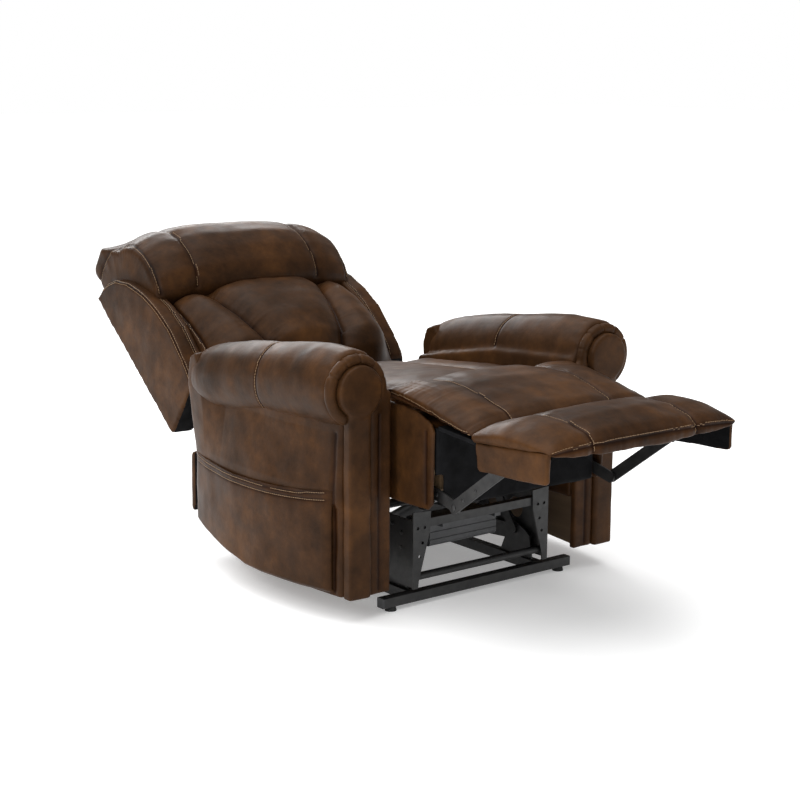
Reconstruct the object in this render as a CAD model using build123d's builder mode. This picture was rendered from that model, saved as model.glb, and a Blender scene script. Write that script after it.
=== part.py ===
from build123d import *
import os
from math import atan2, cos, degrees, hypot, radians, sin

# Power lift recliner, millimetres.  +Z up, the chair faces -Y, X = 0 is its middle.
# The stored pose is fully reclined, leg rest out, lift down.  "right" is the sitter's right (-X).
os.makedirs("parts", exist_ok=True)

# ---- driving dimensions ---------------------------------------------------------------
FRONT_Y = -371.0            # front face of the front floor bar; side outlines count y from here
SIDES = (("right", -1), ("left", 1))

# floor base
FOOT_H = 10.0               # rubber foot under the floor bars
FOOT_R = 14.0
TUBE = 24.0                 # square tube of the floor base
TUBE_WALL = 2.0
BAR_HALF = 292.0            # half length of the front floor bar
REAR_BAR_HALF = 250.0
BASE_LEN = 600.0            # front face to rear face of the base
RAIL_IN = 186.0             # inner face of the base side rails
RUN = 0.05                  # running clearance of a pin in its bore
LOOSE = 0.7                 # play of the last pin closing each four-bar linkage
GAP = 2.0                   # side gap between plates that pass each other

# lift linkage, (y, z) of each pivot
PLATE = 5.0                 # links
SHEET = 4.0                 # pressed plates
PIN_R = 6.0
FRONT_LOW = (60.0, 87.0)
FRONT_HIGH = (382.0, 60.0)
REAR_LOW = (100.0, 100.0)
REAR_HIGH = (525.0, 80.0)
CRANK = (173.0, 200.0)      # lift actuator's pin on the rear links
ACTUATOR_FOOT = (433.0, 46.0)
LINK_W = 13.0               # half width of a lift link
REAR_LINK_X = 186.0         # inner face of the rear links, then outwards: bracket, front link, chair plate
BRACKET_X = REAR_LINK_X + PLATE + GAP
FRONT_LINK_X = BRACKET_X + SHEET + GAP
CHAIR_PLATE_X = FRONT_LINK_X + PLATE + GAP
LIFT_STROKE = 100.0

# chair frame
PLATE_TOP = 205.0           # top of the side plates, under the cross rails
RAIL_H = 30.0               # cross rail
CROSS_Y = (215.0, 515.0)    # front faces of the two cross rails
CROSS_D = 30.0
STRUT_X = 150.0
REAR_Y = 735.0              # front face of the lower rear panel
ARM_IN = 286.0              # inner face of the arms
GLIDE_IN = 214.0            # inner face of the seat glides
GLIDE_W = 11.0
GLIDE_H = 26.5
SLIDE_GAP = 0.5             # seat frame over its glides

# seat
SEAT_Z = PLATE_TOP + RAIL_H + GLIDE_H + SLIDE_GAP
SEAT_RAIL_H = 82.0
DECK_T = 12.0
SEAT_FRONT = -130.0         # front face of the seat box
SEAT_REAR = 600.0
SEAT_RAIL_IN = 204.0
SEAT_RAIL_OUT = 226.0
PANEL_T = 12.0              # upholstered boards
SEAT_HALF = 262.0           # outer face of the seat's side panels
SEAT_TOP = 455.0            # top of the side panels and front panel

# leg rest linkage
LEG_PIVOT = (21.0, 328.9)
KNEE = (-186.4, 281.6)
FOOT_PIVOT = (-360.0, 407.9)
LEG_LINK_W = 14.0
LOWER_LINK_X = 233.0
UPPER_LINK_X = 240.0
FOOT_BRACKET_X = 246.0
LEG_HINGE = (-150.0, 452.0)
FOOT_HINGE = (-288.0, 440.0)
FOOT_SLOPE = 4.0
FOOT_LEN = 232.0            # footrest board, hinge to front edge
FOOT_HALF = 278.0           # outer face of the footrest's side flaps
FLAP_H = 50.0
BOARD_T = 14.0
PAD_T = 50.0

# back
BACK_ANGLE = 38.5           # rear face of the back above the horizontal
BACK_ORIGIN = (834.0, 289.0)
BACK_PIVOT = (660.0, 360.0)
CORE_HALF = 280.0
CORE_T = 60.0
CORE_LOW = -40.0
BACK_TOP = 560.0
WING_DROP = 70.0            # how far below the top of the frame the wings end
WING_IN = 284.0
WING_OUT = 345.0
BOLSTER_HALF = 316.0
SOFT_GAP = 2.0              # between soft pieces that rub

# arms
ARM_REAR = 625.0
ARM_FOOT = 57.0             # lower edge of the arms at the front
ARM_TOP = 618.0
BOARD = 18.0                # plywood arm board
ROLL_R = 78.0
ROLL_X = 374.0
ROLL_DROP = 78.0            # fall of the roll from front to rear
ARM_OUT = 404.0             # outer face of the arm at its front and rear edge
BOW = 44.0                  # how far the side panel bellies out between them
POST_T = 22.0               # padded front of the arm
POCKET_GAP = 22.0           # room inside the side pocket
POCKET_T = 4.0
POCKET_TOP = 300.0
POCKET_LOW = 105.0
POCKET_Y = (60.0, 570.0)


def side_plane(x):
    """Sketch plane seen from +X: first axis y from the front bar, second axis z."""
    return Plane(origin=(x, FRONT_Y, 0), x_dir=(0, 1, 0), z_dir=(1, 0, 0))


def front_plane(y):
    """Sketch plane across the chair: first axis x, second axis z, extruding towards the front."""
    return Plane(origin=(0, FRONT_Y + y, 0), x_dir=(1, 0, 0), z_dir=(0, -1, 0))


def floor_plane(z):
    """Level sketch plane: first axis x, second axis y from the front bar."""
    return Plane(origin=(0, FRONT_Y, z), x_dir=(1, 0, 0), z_dir=(0, 0, 1))


def back_plane(x):
    """Sketch plane of the reclined back: first axis up the back, second out of its front."""
    slope = radians(BACK_ANGLE)
    origin = (x, FRONT_Y + BACK_ORIGIN[0], BACK_ORIGIN[1])
    return Plane(origin=origin, x_dir=(0, cos(slope), sin(slope)), z_dir=(1, 0, 0))


def foot_plane(x):
    """Sketch plane of the footrest: first axis forwards from its hinge, second axis up."""
    slope = radians(FOOT_SLOPE)
    origin = (x, FRONT_Y + FOOT_HINGE[0], FOOT_HINGE[1])
    return Plane(origin=origin, x_dir=(0, -cos(slope), sin(slope)), z_dir=(-1, 0, 0))


def span(side, inner, thickness):
    """Low x of a plate whose inner face is at inner on the given side."""
    return inner if side > 0 else -inner - thickness


def bar(p, q, half_width):
    """Flat bar outline with round ends about p and q, in the open sketch."""
    middle = ((p[0] + q[0]) / 2, (p[1] + q[1]) / 2)
    turn = degrees(atan2(q[1] - p[1], q[0] - p[0]))
    with Locations(middle):
        SlotCenterToCenter(hypot(q[0] - p[0], q[1] - p[1]), 2 * half_width, rotation=turn)


def bores(radius, *places):
    """Round holes in the open sketch."""
    with Locations(*places):
        Circle(radius, mode=Mode.SUBTRACT)


def block(x0, x1, y0, y1, z0, z1):
    """Box between two corners, y counted from the front bar, in the open part."""
    with BuildSketch(floor_plane(z0)) as footprint:
        with Locations(((x0 + x1) / 2, (y0 + y1) / 2)):
            Rectangle(x1 - x0, y1 - y0)
    extrude(footprint.sketch, amount=z1 - z0)


def rod(x0, x1, centre, radius):
    """Round bar along X between x0 and x1, in the open part."""
    with BuildSketch(side_plane(x0)) as section:
        with Locations(centre):
            Circle(radius)
    extrude(section.sketch, amount=x1 - x0)


def save(builder, name):
    """Label the finished piece and write its file."""
    builder.part.label = name
    export_step(builder.part, f"parts/{name}.step")


# ---- floor base -------------------------------------------------------------------------
TUBE_TOP = FOOT_H + TUBE
INNER = TUBE - 2 * TUBE_WALL
CAP_T = 3.0


def cross_tube(y, half_length):
    """Open square tube along X with its front face at y, in the open part."""
    with BuildSketch(side_plane(-half_length)) as section:
        with Locations((y + TUBE / 2, FOOT_H + TUBE / 2)):
            RectangleRounded(TUBE, TUBE, TUBE_WALL)
            Rectangle(INNER, INNER, mode=Mode.SUBTRACT)
    extrude(section.sketch, amount=2 * half_length)


with BuildPart() as base_front_bar:
    cross_tube(0, BAR_HALF - CAP_T)
save(base_front_bar, "base_front_bar")

REAR_BAR_Y = BASE_LEN - TUBE
with BuildPart() as base_rear_bar:
    cross_tube(REAR_BAR_Y, REAR_BAR_HALF - CAP_T)
save(base_rear_bar, "base_rear_bar")

with BuildPart() as base_side_rails:
    for name, side in SIDES:
        low = span(side, RAIL_IN, TUBE)
        with BuildSketch(front_plane(REAR_BAR_Y)):
            with Locations((low + TUBE / 2, FOOT_H + TUBE / 2)):
                Rectangle(TUBE, TUBE)
                Rectangle(INNER, INNER, mode=Mode.SUBTRACT)
        extrude(amount=REAR_BAR_Y - TUBE)
save(base_side_rails, "base_side_rails")

# bar between the side rails that carries the lift actuator, with two ears
EAR_GAP = 26.0
EAR_T = 4.0
EAR_R = 12.0
with BuildPart() as actuator_bar:
    foot_y = ACTUATOR_FOOT[0] + EAR_R + 2
    block(-RAIL_IN, RAIL_IN, foot_y, foot_y + TUBE, FOOT_H, TUBE_TOP)
    for x in (-EAR_GAP / 2 - EAR_T, EAR_GAP / 2):
        with BuildSketch(side_plane(x)):
            bar(ACTUATOR_FOOT, (foot_y + EAR_R, ACTUATOR_FOOT[1]), EAR_R)
        extrude(amount=EAR_T)
    rod(-EAR_GAP / 2, EAR_GAP / 2, ACTUATOR_FOOT, PIN_R)
save(actuator_bar, "actuator_bar")

with BuildPart() as base_brackets:
    # each bracket has a riveted stud to either side, for the rear and the front link
    for name, side in SIDES:
        rear_span = sorted((side * REAR_LINK_X, side * BRACKET_X))
        rod(rear_span[0], rear_span[1], REAR_LOW, PIN_R)
        front_span = sorted((side * (BRACKET_X + SHEET), side * (FRONT_LINK_X + PLATE)))
        rod(front_span[0], front_span[1], FRONT_LOW, PIN_R)
        with BuildSketch(side_plane(span(side, BRACKET_X, SHEET))):
            with BuildLine():
                Polyline((34, TUBE_TOP), (44, 92), (60, 103), (92, 116), (112, 116),
                         (120, 100), (150, TUBE_TOP), close=True)
            make_face()
        extrude(amount=SHEET)
save(base_brackets, "base_brackets")

FOOT_SPOTS = [(x, TUBE / 2) for x in (-262, 262)] + [(x, BASE_LEN - TUBE / 2) for x in (-222, 222)]
with BuildPart() as floor_feet:
    with BuildSketch(floor_plane(0)):
        with Locations(*FOOT_SPOTS):
            Circle(FOOT_R)
    extrude(amount=FOOT_H, taper=12)
save(floor_feet, "floor_feet")

with BuildPart() as tube_caps:
    for y, half in ((0, BAR_HALF), (REAR_BAR_Y, REAR_BAR_HALF)):
        for x in (-half, half - CAP_T):
            with BuildSketch(side_plane(x)):
                with Locations((y + TUBE / 2, FOOT_H + TUBE / 2)):
                    RectangleRounded(TUBE, TUBE, TUBE_WALL)
            extrude(amount=CAP_T)
save(tube_caps, "tube_caps")

# ---- lift links -------------------------------------------------------------------------
with BuildPart() as lift_front_links:
    for name, side in SIDES:
        with BuildSketch(side_plane(span(side, FRONT_LINK_X, PLATE))):
            bar(FRONT_LOW, FRONT_HIGH, LINK_W)
            bores(PIN_R + RUN, FRONT_LOW)
            bores(PIN_R + LOOSE, FRONT_HIGH)
        extrude(amount=PLATE)
save(lift_front_links, "lift_front_links")

with BuildPart() as lift_rear_links:
    for name, side in SIDES:
        with BuildSketch(side_plane(span(side, REAR_LINK_X, PLATE))):
            bar(REAR_LOW, REAR_HIGH, LINK_W)
            bar(REAR_LOW, CRANK, LINK_W)
            bar(CRANK, (300, 92), LINK_W - 3)
            bores(PIN_R + RUN, REAR_LOW, REAR_HIGH)
        extrude(amount=PLATE)
save(lift_rear_links, "lift_rear_links")

TORQUE_R = 11.0
with BuildPart() as lift_torque_tube:
    rod(-REAR_LINK_X, REAR_LINK_X, CRANK, TORQUE_R)
    with BuildSketch(side_plane(-REAR_LINK_X)):
        with Locations(CRANK):
            Circle(TORQUE_R - TUBE_WALL)
    extrude(amount=2 * REAR_LINK_X, mode=Mode.SUBTRACT)
save(lift_torque_tube, "lift_torque_tube")

# ---- lift actuator, drawn along the line from its foot to the torque tube ------------------
ACT_ANGLE = degrees(atan2(CRANK[1] - ACTUATOR_FOOT[1], CRANK[0] - ACTUATOR_FOOT[0]))
ACT_LEN = hypot(CRANK[1] - ACTUATOR_FOOT[1], CRANK[0] - ACTUATOR_FOOT[0])
slope = radians(ACT_ANGLE)
ACT_DIR = Vector(0, cos(slope), sin(slope))
ACT_FOOT = Vector(0, FRONT_Y + ACTUATOR_FOOT[0], ACTUATOR_FOOT[1])
ROD_R = 10.0
HOUSE_R = 19.0
HOUSE_END = ACT_LEN - 62.0   # front end of the outer tube


def actuator_plane(along):
    """Plane square to the actuator, that far from its foot pin."""
    return Plane(origin=ACT_FOOT + ACT_DIR * along, x_dir=(1, 0, 0), z_dir=ACT_DIR)


with BuildPart() as lift_actuator:
    with BuildSketch(actuator_plane(14)):
        Rectangle(44, 44)
    extrude(amount=60)
    with BuildSketch(actuator_plane(74)):
        Circle(HOUSE_R)
    extrude(amount=HOUSE_END - 74)
    with BuildSketch(actuator_plane(40)):
        Circle(ROD_R + RUN)
    extrude(amount=HOUSE_END - 40, mode=Mode.SUBTRACT)
    with BuildSketch(side_plane(-EAR_GAP / 2 + 1)):
        tail = (ACTUATOR_FOOT[0] + 24 * cos(slope), ACTUATOR_FOOT[1] + 24 * sin(slope))
        bar(ACTUATOR_FOOT, tail, EAR_R - 1)
    extrude(amount=EAR_GAP - 2)
    with BuildSketch(side_plane(-EAR_GAP / 2)):
        with Locations(ACTUATOR_FOOT):
            Circle(PIN_R + RUN)
    extrude(amount=EAR_GAP, mode=Mode.SUBTRACT)
save(lift_actuator, "lift_actuator")

with BuildPart() as lift_motor:
    with BuildSketch(Plane(origin=ACT_FOOT + ACT_DIR * 46, x_dir=ACT_DIR, z_dir=(1, 0, 0))):
        Circle(26)
    extrude(amount=112)
    with BuildSketch(Plane(origin=ACT_FOOT + ACT_DIR * 46, x_dir=ACT_DIR, z_dir=(1, 0, 0))):
        Circle(27)
    extrude(amount=22, mode=Mode.SUBTRACT)
    fillet(lift_motor.edges().filter_by(GeomType.CIRCLE).sort_by(Axis.X)[-1], radius=5)
save(lift_motor, "lift_motor")

# the rod's eye is a slot, so that the tube can rise across the rod in mid travel
EYE_SLOT = (0.5, 10.5)      # how far the slot's ends lie across the rod from its line
EYE_BORE = TORQUE_R + 3.6
EYE_WALL = 3.5
EYE_W = 24.0
ACROSS = (-sin(slope), cos(slope))
if ACROSS[1] < 0:
    ACROSS = (sin(slope), -cos(slope))
EYE_ENDS = ((CRANK[0] - EYE_SLOT[0] * ACROSS[0], CRANK[1] - EYE_SLOT[0] * ACROSS[1]),
            (CRANK[0] + EYE_SLOT[1] * ACROSS[0], CRANK[1] + EYE_SLOT[1] * ACROSS[1]))
with BuildPart() as lift_rod:
    with BuildSketch(actuator_plane(42)):
        Circle(ROD_R)
    extrude(amount=ACT_LEN - 42 - EYE_BORE - 1)
    with BuildSketch(side_plane(-EYE_W / 2)):
        bar(EYE_ENDS[0], EYE_ENDS[1], EYE_BORE + EYE_WALL)
    extrude(amount=EYE_W)
    with BuildSketch(side_plane(-EYE_W / 2)):
        bar(EYE_ENDS[0], EYE_ENDS[1], EYE_BORE)
    extrude(amount=EYE_W, mode=Mode.SUBTRACT)
save(lift_rod, "lift_rod")

# ---- chair frame: pressed side plates, front legs, cross members -----------------------------
CHAIR_PLATE_OUT = CHAIR_PLATE_X + SHEET
PLATE_REAR = CROSS_Y[1] + CROSS_D + 20
LIGHTEN_R = 26.0            # lightening holes
LIGHTEN_Z = 150.0
with BuildPart() as chair_side_plates:
    for name, side in SIDES:
        with BuildSketch(side_plane(span(side, CHAIR_PLATE_X, SHEET))):
            with BuildLine():
                Polyline((0, 46), (0, PLATE_TOP), (PLATE_REAR, PLATE_TOP), (PLATE_REAR, 56),
                         (FRONT_HIGH[0], 42), (330, 46), (250, 92), (150, 92), (60, 46), close=True)
            make_face()
            bores(LIGHTEN_R, *[(y, LIGHTEN_Z) for y in (110, 190, 290, 390, 470)])
        extrude(amount=SHEET)
        rear_span = sorted((side * REAR_LINK_X, side * CHAIR_PLATE_X))
        rod(rear_span[0], rear_span[1], REAR_HIGH, PIN_R)
        front_span = sorted((side * FRONT_LINK_X, side * CHAIR_PLATE_X))
        rod(front_span[0], front_span[1], FRONT_HIGH, PIN_R)
save(chair_side_plates, "chair_side_plates")

# folded front legs, wide at the top, with a row of spare holes
with BuildPart() as front_legs:
    for name, side in SIDES:
        with BuildSketch(front_plane(0)):
            with BuildLine():
                Polyline((side * CHAIR_PLATE_OUT, 42), (side * CHAIR_PLATE_OUT, 226), (side * 158, 222),
                         (side * 160, 176), (side * 192, 60), (side * 194, 42), close=True)
            make_face()
            bores(4, (side * 182, 150), (side * 190, 118), (side * 176, 186), (side * 196, 186))
        extrude(amount=SHEET)
save(front_legs, "front_legs")

CROSS_TUBE = 20.0
UPPER_TUBE_Z = 184.0
with BuildPart() as cross_tubes:
    block(-CHAIR_PLATE_X, CHAIR_PLATE_X, 0, CROSS_TUBE, UPPER_TUBE_Z, UPPER_TUBE_Z + CROSS_TUBE)
    with BuildSketch(side_plane(-CHAIR_PLATE_X)):
        with Locations((CROSS_TUBE / 2, UPPER_TUBE_Z + CROSS_TUBE / 2)):
            Rectangle(CROSS_TUBE - 2 * TUBE_WALL, CROSS_TUBE - 2 * TUBE_WALL)
    extrude(amount=2 * CHAIR_PLATE_X, mode=Mode.SUBTRACT)
    rod(-CHAIR_PLATE_X, CHAIR_PLATE_X, (12, 66), 9)
save(cross_tubes, "cross_tubes")

with BuildPart() as cross_rails:
    for y in CROSS_Y:
        block(-ARM_IN, ARM_IN, y, y + CROSS_D, PLATE_TOP, PLATE_TOP + RAIL_H)
    # two struts reach back from the rear rail to the rear panel
    for x in (-STRUT_X, STRUT_X):
        block(x - 10, x + 10, CROSS_Y[1] + CROSS_D, REAR_Y, PLATE_TOP + 4, PLATE_TOP + 24)
save(cross_rails, "cross_rails")

GLIDE_Z = PLATE_TOP + RAIL_H
with BuildPart() as seat_glides:
    for name, side in SIDES:
        low = span(side, GLIDE_IN, GLIDE_W)
        block(low, low + GLIDE_W, CROSS_Y[0] - 60, CROSS_Y[1] + CROSS_D, GLIDE_Z, GLIDE_Z + GLIDE_H)
save(seat_glides, "seat_glides")

# recline drive: a rail under the seat, its motor across the front, and a travelling block
DRIVE_Z = GLIDE_Z + 1.5
DRIVE_W = 44.0
with BuildPart() as drive_rail:
    block(-DRIVE_W / 2, DRIVE_W / 2, CROSS_Y[0], CROSS_Y[1] + CROSS_D, GLIDE_Z, GLIDE_Z + 22)
    for side in (-1, 1):
        groove = sorted((side * DRIVE_W / 2, side * (DRIVE_W / 2 - 5)))
        with BuildSketch(floor_plane(GLIDE_Z + 8)):
            with Locations((sum(groove) / 2, (CROSS_Y[0] + CROSS_Y[1] + CROSS_D) / 2)):
                Rectangle(5, CROSS_Y[1] - CROSS_Y[0] + CROSS_D)
        extrude(amount=6, mode=Mode.SUBTRACT)
save(drive_rail, "drive_rail")

MOTOR_X = (-135.0, 70.0)
MOTOR_Y = (28.0, 118.0)
MOTOR_Z = (124.0, 182.0)
with BuildPart() as drive_motor:
    block(MOTOR_X[0], MOTOR_X[1], MOTOR_Y[0], MOTOR_Y[1], MOTOR_Z[0], MOTOR_Z[1])
    fillet(drive_motor.edges().filter_by(Axis.X), radius=8)
    for z in (142.0, 160.0):
        with BuildSketch(side_plane(MOTOR_X[0])):
            with Locations((MOTOR_Y[0], z)):
                Rectangle(4, 4)
        extrude(amount=MOTOR_X[1] - MOTOR_X[0], mode=Mode.SUBTRACT)
    for x in (-110, 50):
        block(x - 9, x + 9, 0, 32, 176, 184)
save(drive_motor, "drive_motor")

CARRIAGE_Y = 262.0
CARRIAGE_TRAVEL = 140.0
with BuildPart() as drive_carriage:
    block(-30, 30, CARRIAGE_Y, CARRIAGE_Y + 44, GLIDE_Z - 16, GLIDE_Z - 1)
    for side in (-1, 1):
        lug = sorted((side * (DRIVE_W / 2 + 1), side * 30))
        block(lug[0], lug[1], CARRIAGE_Y, CARRIAGE_Y + 44, GLIDE_Z - 1, GLIDE_Z + 14)
save(drive_carriage, "drive_carriage")

# ---- seat ---------------------------------------------------------------------------------
TUBE_ROLL = 9.0              # torque tube through the leg linkage's upper pivots
RAIL_TOP = SEAT_Z + SEAT_RAIL_H
with BuildPart() as seat_rails:
    for name, side in SIDES:
        low = span(side, SEAT_RAIL_IN, SEAT_RAIL_OUT - SEAT_RAIL_IN)
        with BuildSketch(side_plane(low)):
            with BuildLine():
                Polyline((SEAT_FRONT + PANEL_T, RAIL_TOP), (SEAT_FRONT + PANEL_T, SEAT_Z + 44),
                         (-20, SEAT_Z), (SEAT_REAR, SEAT_Z), (SEAT_REAR, RAIL_TOP), close=True)
            make_face()
            bores(TUBE_ROLL + 1, LEG_PIVOT)
        extrude(amount=SEAT_RAIL_OUT - SEAT_RAIL_IN)
    for y in (SEAT_FRONT + PANEL_T, SEAT_REAR - 22):
        block(-SEAT_RAIL_IN, SEAT_RAIL_IN, y, y + 22, RAIL_TOP - 36, RAIL_TOP)
save(seat_rails, "seat_rails")

# steel plates outside the rails: leg linkage pivot at the front, back pivot at the rear
MECH_T = LOWER_LINK_X - GAP - SEAT_RAIL_OUT
with BuildPart() as mechanism_plates:
    for name, side in SIDES:
        with BuildSketch(side_plane(span(side, SEAT_RAIL_OUT, MECH_T))):
            with BuildLine():
                Polyline((-20, RAIL_TOP - 1), (-20, 318), (8, 300), (60, 300), (120, 284),
                         (520, 284), (650, 336), (684, 352), (684, 370), (664, 382),
                         (644, 376), (SEAT_REAR + 6, RAIL_TOP - 1), close=True)
            make_face()
            bores(TUBE_ROLL + RUN, LEG_PIVOT)
        extrude(amount=MECH_T)
        pin_span = sorted((side * (SEAT_RAIL_OUT + MECH_T), side * (LOWER_LINK_X + SHEET + 1)))
        rod(pin_span[0], pin_span[1], BACK_PIVOT, PIN_R)
save(mechanism_plates, "mechanism_plates")

FRONT_IN = SEAT_HALF - PANEL_T
FRONT_BACK = SEAT_FRONT + PANEL_T
with BuildPart() as seat_deck:
    block(-FRONT_IN, FRONT_IN, FRONT_BACK, SEAT_REAR, RAIL_TOP, RAIL_TOP + DECK_T)
save(seat_deck, "seat_deck")

for name, side in SIDES:
    with BuildPart() as seat_side:
        low = span(side, FRONT_IN, PANEL_T)
        block(low, low + PANEL_T, SEAT_FRONT, SEAT_REAR - 200, SEAT_Z, SEAT_TOP)
        front_edges = seat_side.edges().filter_by(Axis.X).group_by(Axis.Y)[0]
        fillet(front_edges, radius=10)
    save(seat_side, f"seat_side_{name}")

with BuildPart() as seat_front:
    block(-FRONT_IN, FRONT_IN, SEAT_FRONT, FRONT_BACK, RAIL_TOP, SEAT_TOP)
    block(-SEAT_RAIL_OUT, SEAT_RAIL_OUT, SEAT_FRONT, FRONT_BACK, RAIL_TOP - 40, RAIL_TOP)
save(seat_front, "seat_front")

with BuildPart() as seat_cushion:
    with BuildSketch(side_plane(-FRONT_IN + 1)):
        with BuildLine():
            Polyline((FRONT_BACK, RAIL_TOP + DECK_T), (FRONT_BACK, SEAT_TOP),
                     (24, SEAT_TOP), (30, 500), (500, 474), (SEAT_REAR, 440),
                     (SEAT_REAR, RAIL_TOP + DECK_T), close=True)
        make_face()
    extrude(amount=2 * (FRONT_IN - 1))
    fillet(seat_cushion.edges().filter_by(Axis.X).group_by(Axis.Z)[-1], radius=18)
save(seat_cushion, "seat_cushion")

# ---- leg pad over the seat front, its hinged half, and the footrest ---------------------------
PAD_HALF = 276.0
with BuildPart() as leg_pad_rear:
    with BuildSketch(side_plane(-PAD_HALF)):
        with BuildLine():
            Polyline((LEG_HINGE[0] + SOFT_GAP, SEAT_TOP + 1), (LEG_HINGE[0] + SOFT_GAP, 510),
                     (-100, 528), (10, 532), (22, 520), (22, SEAT_TOP + 1), close=True)
        make_face()
    extrude(amount=2 * PAD_HALF)
    fillet(leg_pad_rear.edges().filter_by(Axis.X).group_by(Axis.Z)[-1], radius=8)
save(leg_pad_rear, "leg_pad_rear")

FLAP_LEN = hypot(FOOT_HINGE[0] - LEG_HINGE[0], FOOT_HINGE[1] - LEG_HINGE[1])
flap_slope = atan2(LEG_HINGE[1] - FOOT_HINGE[1], LEG_HINGE[0] - FOOT_HINGE[0])


def flap_plane(x):
    """Sketch plane of the hinged leg board: first axis forwards from the seat, second axis up."""
    origin = (x, FRONT_Y + LEG_HINGE[0], LEG_HINGE[1])
    return Plane(origin=origin, x_dir=(0, -cos(flap_slope), -sin(flap_slope)), z_dir=(-1, 0, 0))


LEG_BOARD_T = 9.0
LEG_PAD_T = 52.0
with BuildPart() as leg_board:
    with BuildSketch(flap_plane(SEAT_HALF)):
        with Locations((FLAP_LEN / 2, LEG_BOARD_T / 2)):
            Rectangle(FLAP_LEN - 8, LEG_BOARD_T)
    extrude(amount=2 * SEAT_HALF)
save(leg_board, "leg_board")

with BuildPart() as leg_pad_front:
    with BuildSketch(flap_plane(PAD_HALF)):
        with BuildLine():
            Polyline((SOFT_GAP, LEG_BOARD_T), (SOFT_GAP, LEG_PAD_T), (FLAP_LEN - 26, LEG_PAD_T - 6),
                     (FLAP_LEN - 8, LEG_PAD_T - 22), (FLAP_LEN - SOFT_GAP, LEG_BOARD_T), close=True)
        make_face()
    extrude(amount=2 * PAD_HALF)
save(leg_pad_front, "leg_pad_front")

FLAP_T = 12.0
FOOT_BOARD_HALF = FOOT_HALF - FLAP_T
with BuildPart() as foot_board:
    with BuildSketch(foot_plane(FOOT_BOARD_HALF)):
        with Locations(((FOOT_LEN + 4) / 2, BOARD_T / 2)):
            Rectangle(FOOT_LEN - 4, BOARD_T)
    extrude(amount=2 * FOOT_BOARD_HALF)
save(foot_board, "foot_board")

for name, side in SIDES:
    with BuildPart() as foot_flap:
        with BuildSketch(foot_plane(FOOT_HALF if side > 0 else -FOOT_BOARD_HALF)):
            with BuildLine():
                Polyline((6, BOARD_T), (10, -FLAP_H), (FOOT_LEN - 6, -FLAP_H - 4),
                         (FOOT_LEN - 2, BOARD_T), close=True)
            make_face()
            fillet(vertices().sort_by(Axis.Y)[-2:], radius=6)
        extrude(amount=FLAP_T)
    save(foot_flap, f"foot_flap_{name}")

# steel brackets under the footrest board, down to the linkage's front pivot
drop = radians(FOOT_SLOPE)
rise = (FOOT_PIVOT[0] - FOOT_HINGE[0], FOOT_PIVOT[1] - FOOT_HINGE[1])
FOOT_PIN = (-rise[0] * cos(drop) + rise[1] * sin(drop), rise[0] * sin(drop) + rise[1] * cos(drop))
with BuildPart() as foot_brackets:
    for name, side in SIDES:
        inner = FOOT_BRACKET_X + SHEET if side > 0 else -FOOT_BRACKET_X
        with BuildSketch(foot_plane(inner)):
            with BuildLine():
                Polyline((14, 0), (22, -26), (FOOT_PIN[0] - 10, FOOT_PIN[1] - 12),
                         (FOOT_PIN[0] + 10, FOOT_PIN[1] - 12), (FOOT_PIN[0] + 22, FOOT_PIN[1] + 2),
                         (176, -16), (190, 0), close=True)
            make_face()
        extrude(amount=SHEET)
        pin_span = sorted((side * UPPER_LINK_X, side * FOOT_BRACKET_X))
        rod(pin_span[0], pin_span[1], FOOT_PIVOT, PIN_R)
save(foot_brackets, "foot_brackets")

with BuildPart() as foot_pad:
    with BuildSketch(foot_plane(FOOT_HALF + 2)):
        with BuildLine():
            Polyline((SOFT_GAP, BOARD_T), (SOFT_GAP, 34), (26, 56), (96, 72), (176, 64), (232, 40),
                     (244, 18), (240, 4), (FOOT_LEN + 1, 4), (FOOT_LEN + 1, BOARD_T), close=True)
        make_face()
    extrude(amount=2 * FOOT_HALF + 4)
save(foot_pad, "foot_pad")

# ---- leg rest links ----------------------------------------------------------------------------
with BuildPart() as leg_lower_links:
    for name, side in SIDES:
        with BuildSketch(side_plane(span(side, LOWER_LINK_X, SHEET))):
            bar(LEG_PIVOT, KNEE, LEG_LINK_W)
            bores(TUBE_ROLL, LEG_PIVOT)
        extrude(amount=SHEET)
        pin_span = sorted((side * (LOWER_LINK_X + SHEET), side * (UPPER_LINK_X + SHEET)))
        rod(pin_span[0], pin_span[1], KNEE, PIN_R)
save(leg_lower_links, "leg_lower_links")

with BuildPart() as leg_torque_tube:
    reach = LOWER_LINK_X + SHEET
    rod(-reach, reach, LEG_PIVOT, TUBE_ROLL)
save(leg_torque_tube, "leg_torque_tube")

with BuildPart() as leg_upper_links:
    for name, side in SIDES:
        with BuildSketch(side_plane(span(side, UPPER_LINK_X, SHEET))):
            bar(KNEE, FOOT_PIVOT, LEG_LINK_W)
            bores(PIN_R + RUN, KNEE)
            bores(PIN_R + LOOSE, FOOT_PIVOT)
        extrude(amount=SHEET)
save(leg_upper_links, "leg_upper_links")

# ---- back ----------------------------------------------------------------------------------------
back_turn = radians(BACK_ANGLE)
reach = (BACK_PIVOT[0] - BACK_ORIGIN[0], BACK_PIVOT[1] - BACK_ORIGIN[1])
PIVOT_UP = reach[0] * cos(back_turn) + reach[1] * sin(back_turn)
PIVOT_OUT = -reach[0] * sin(back_turn) + reach[1] * cos(back_turn)

with BuildPart() as back_frame:
    with BuildSketch(back_plane(-CORE_HALF)):
        with Locations(((CORE_LOW + BACK_TOP) / 2, (1 + CORE_T) / 2)):
            Rectangle(BACK_TOP - CORE_LOW, CORE_T - 1)
    extrude(amount=2 * CORE_HALF)
    fillet(back_frame.edges().filter_by(Axis.X), radius=8)
save(back_frame, "back_frame")

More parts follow.
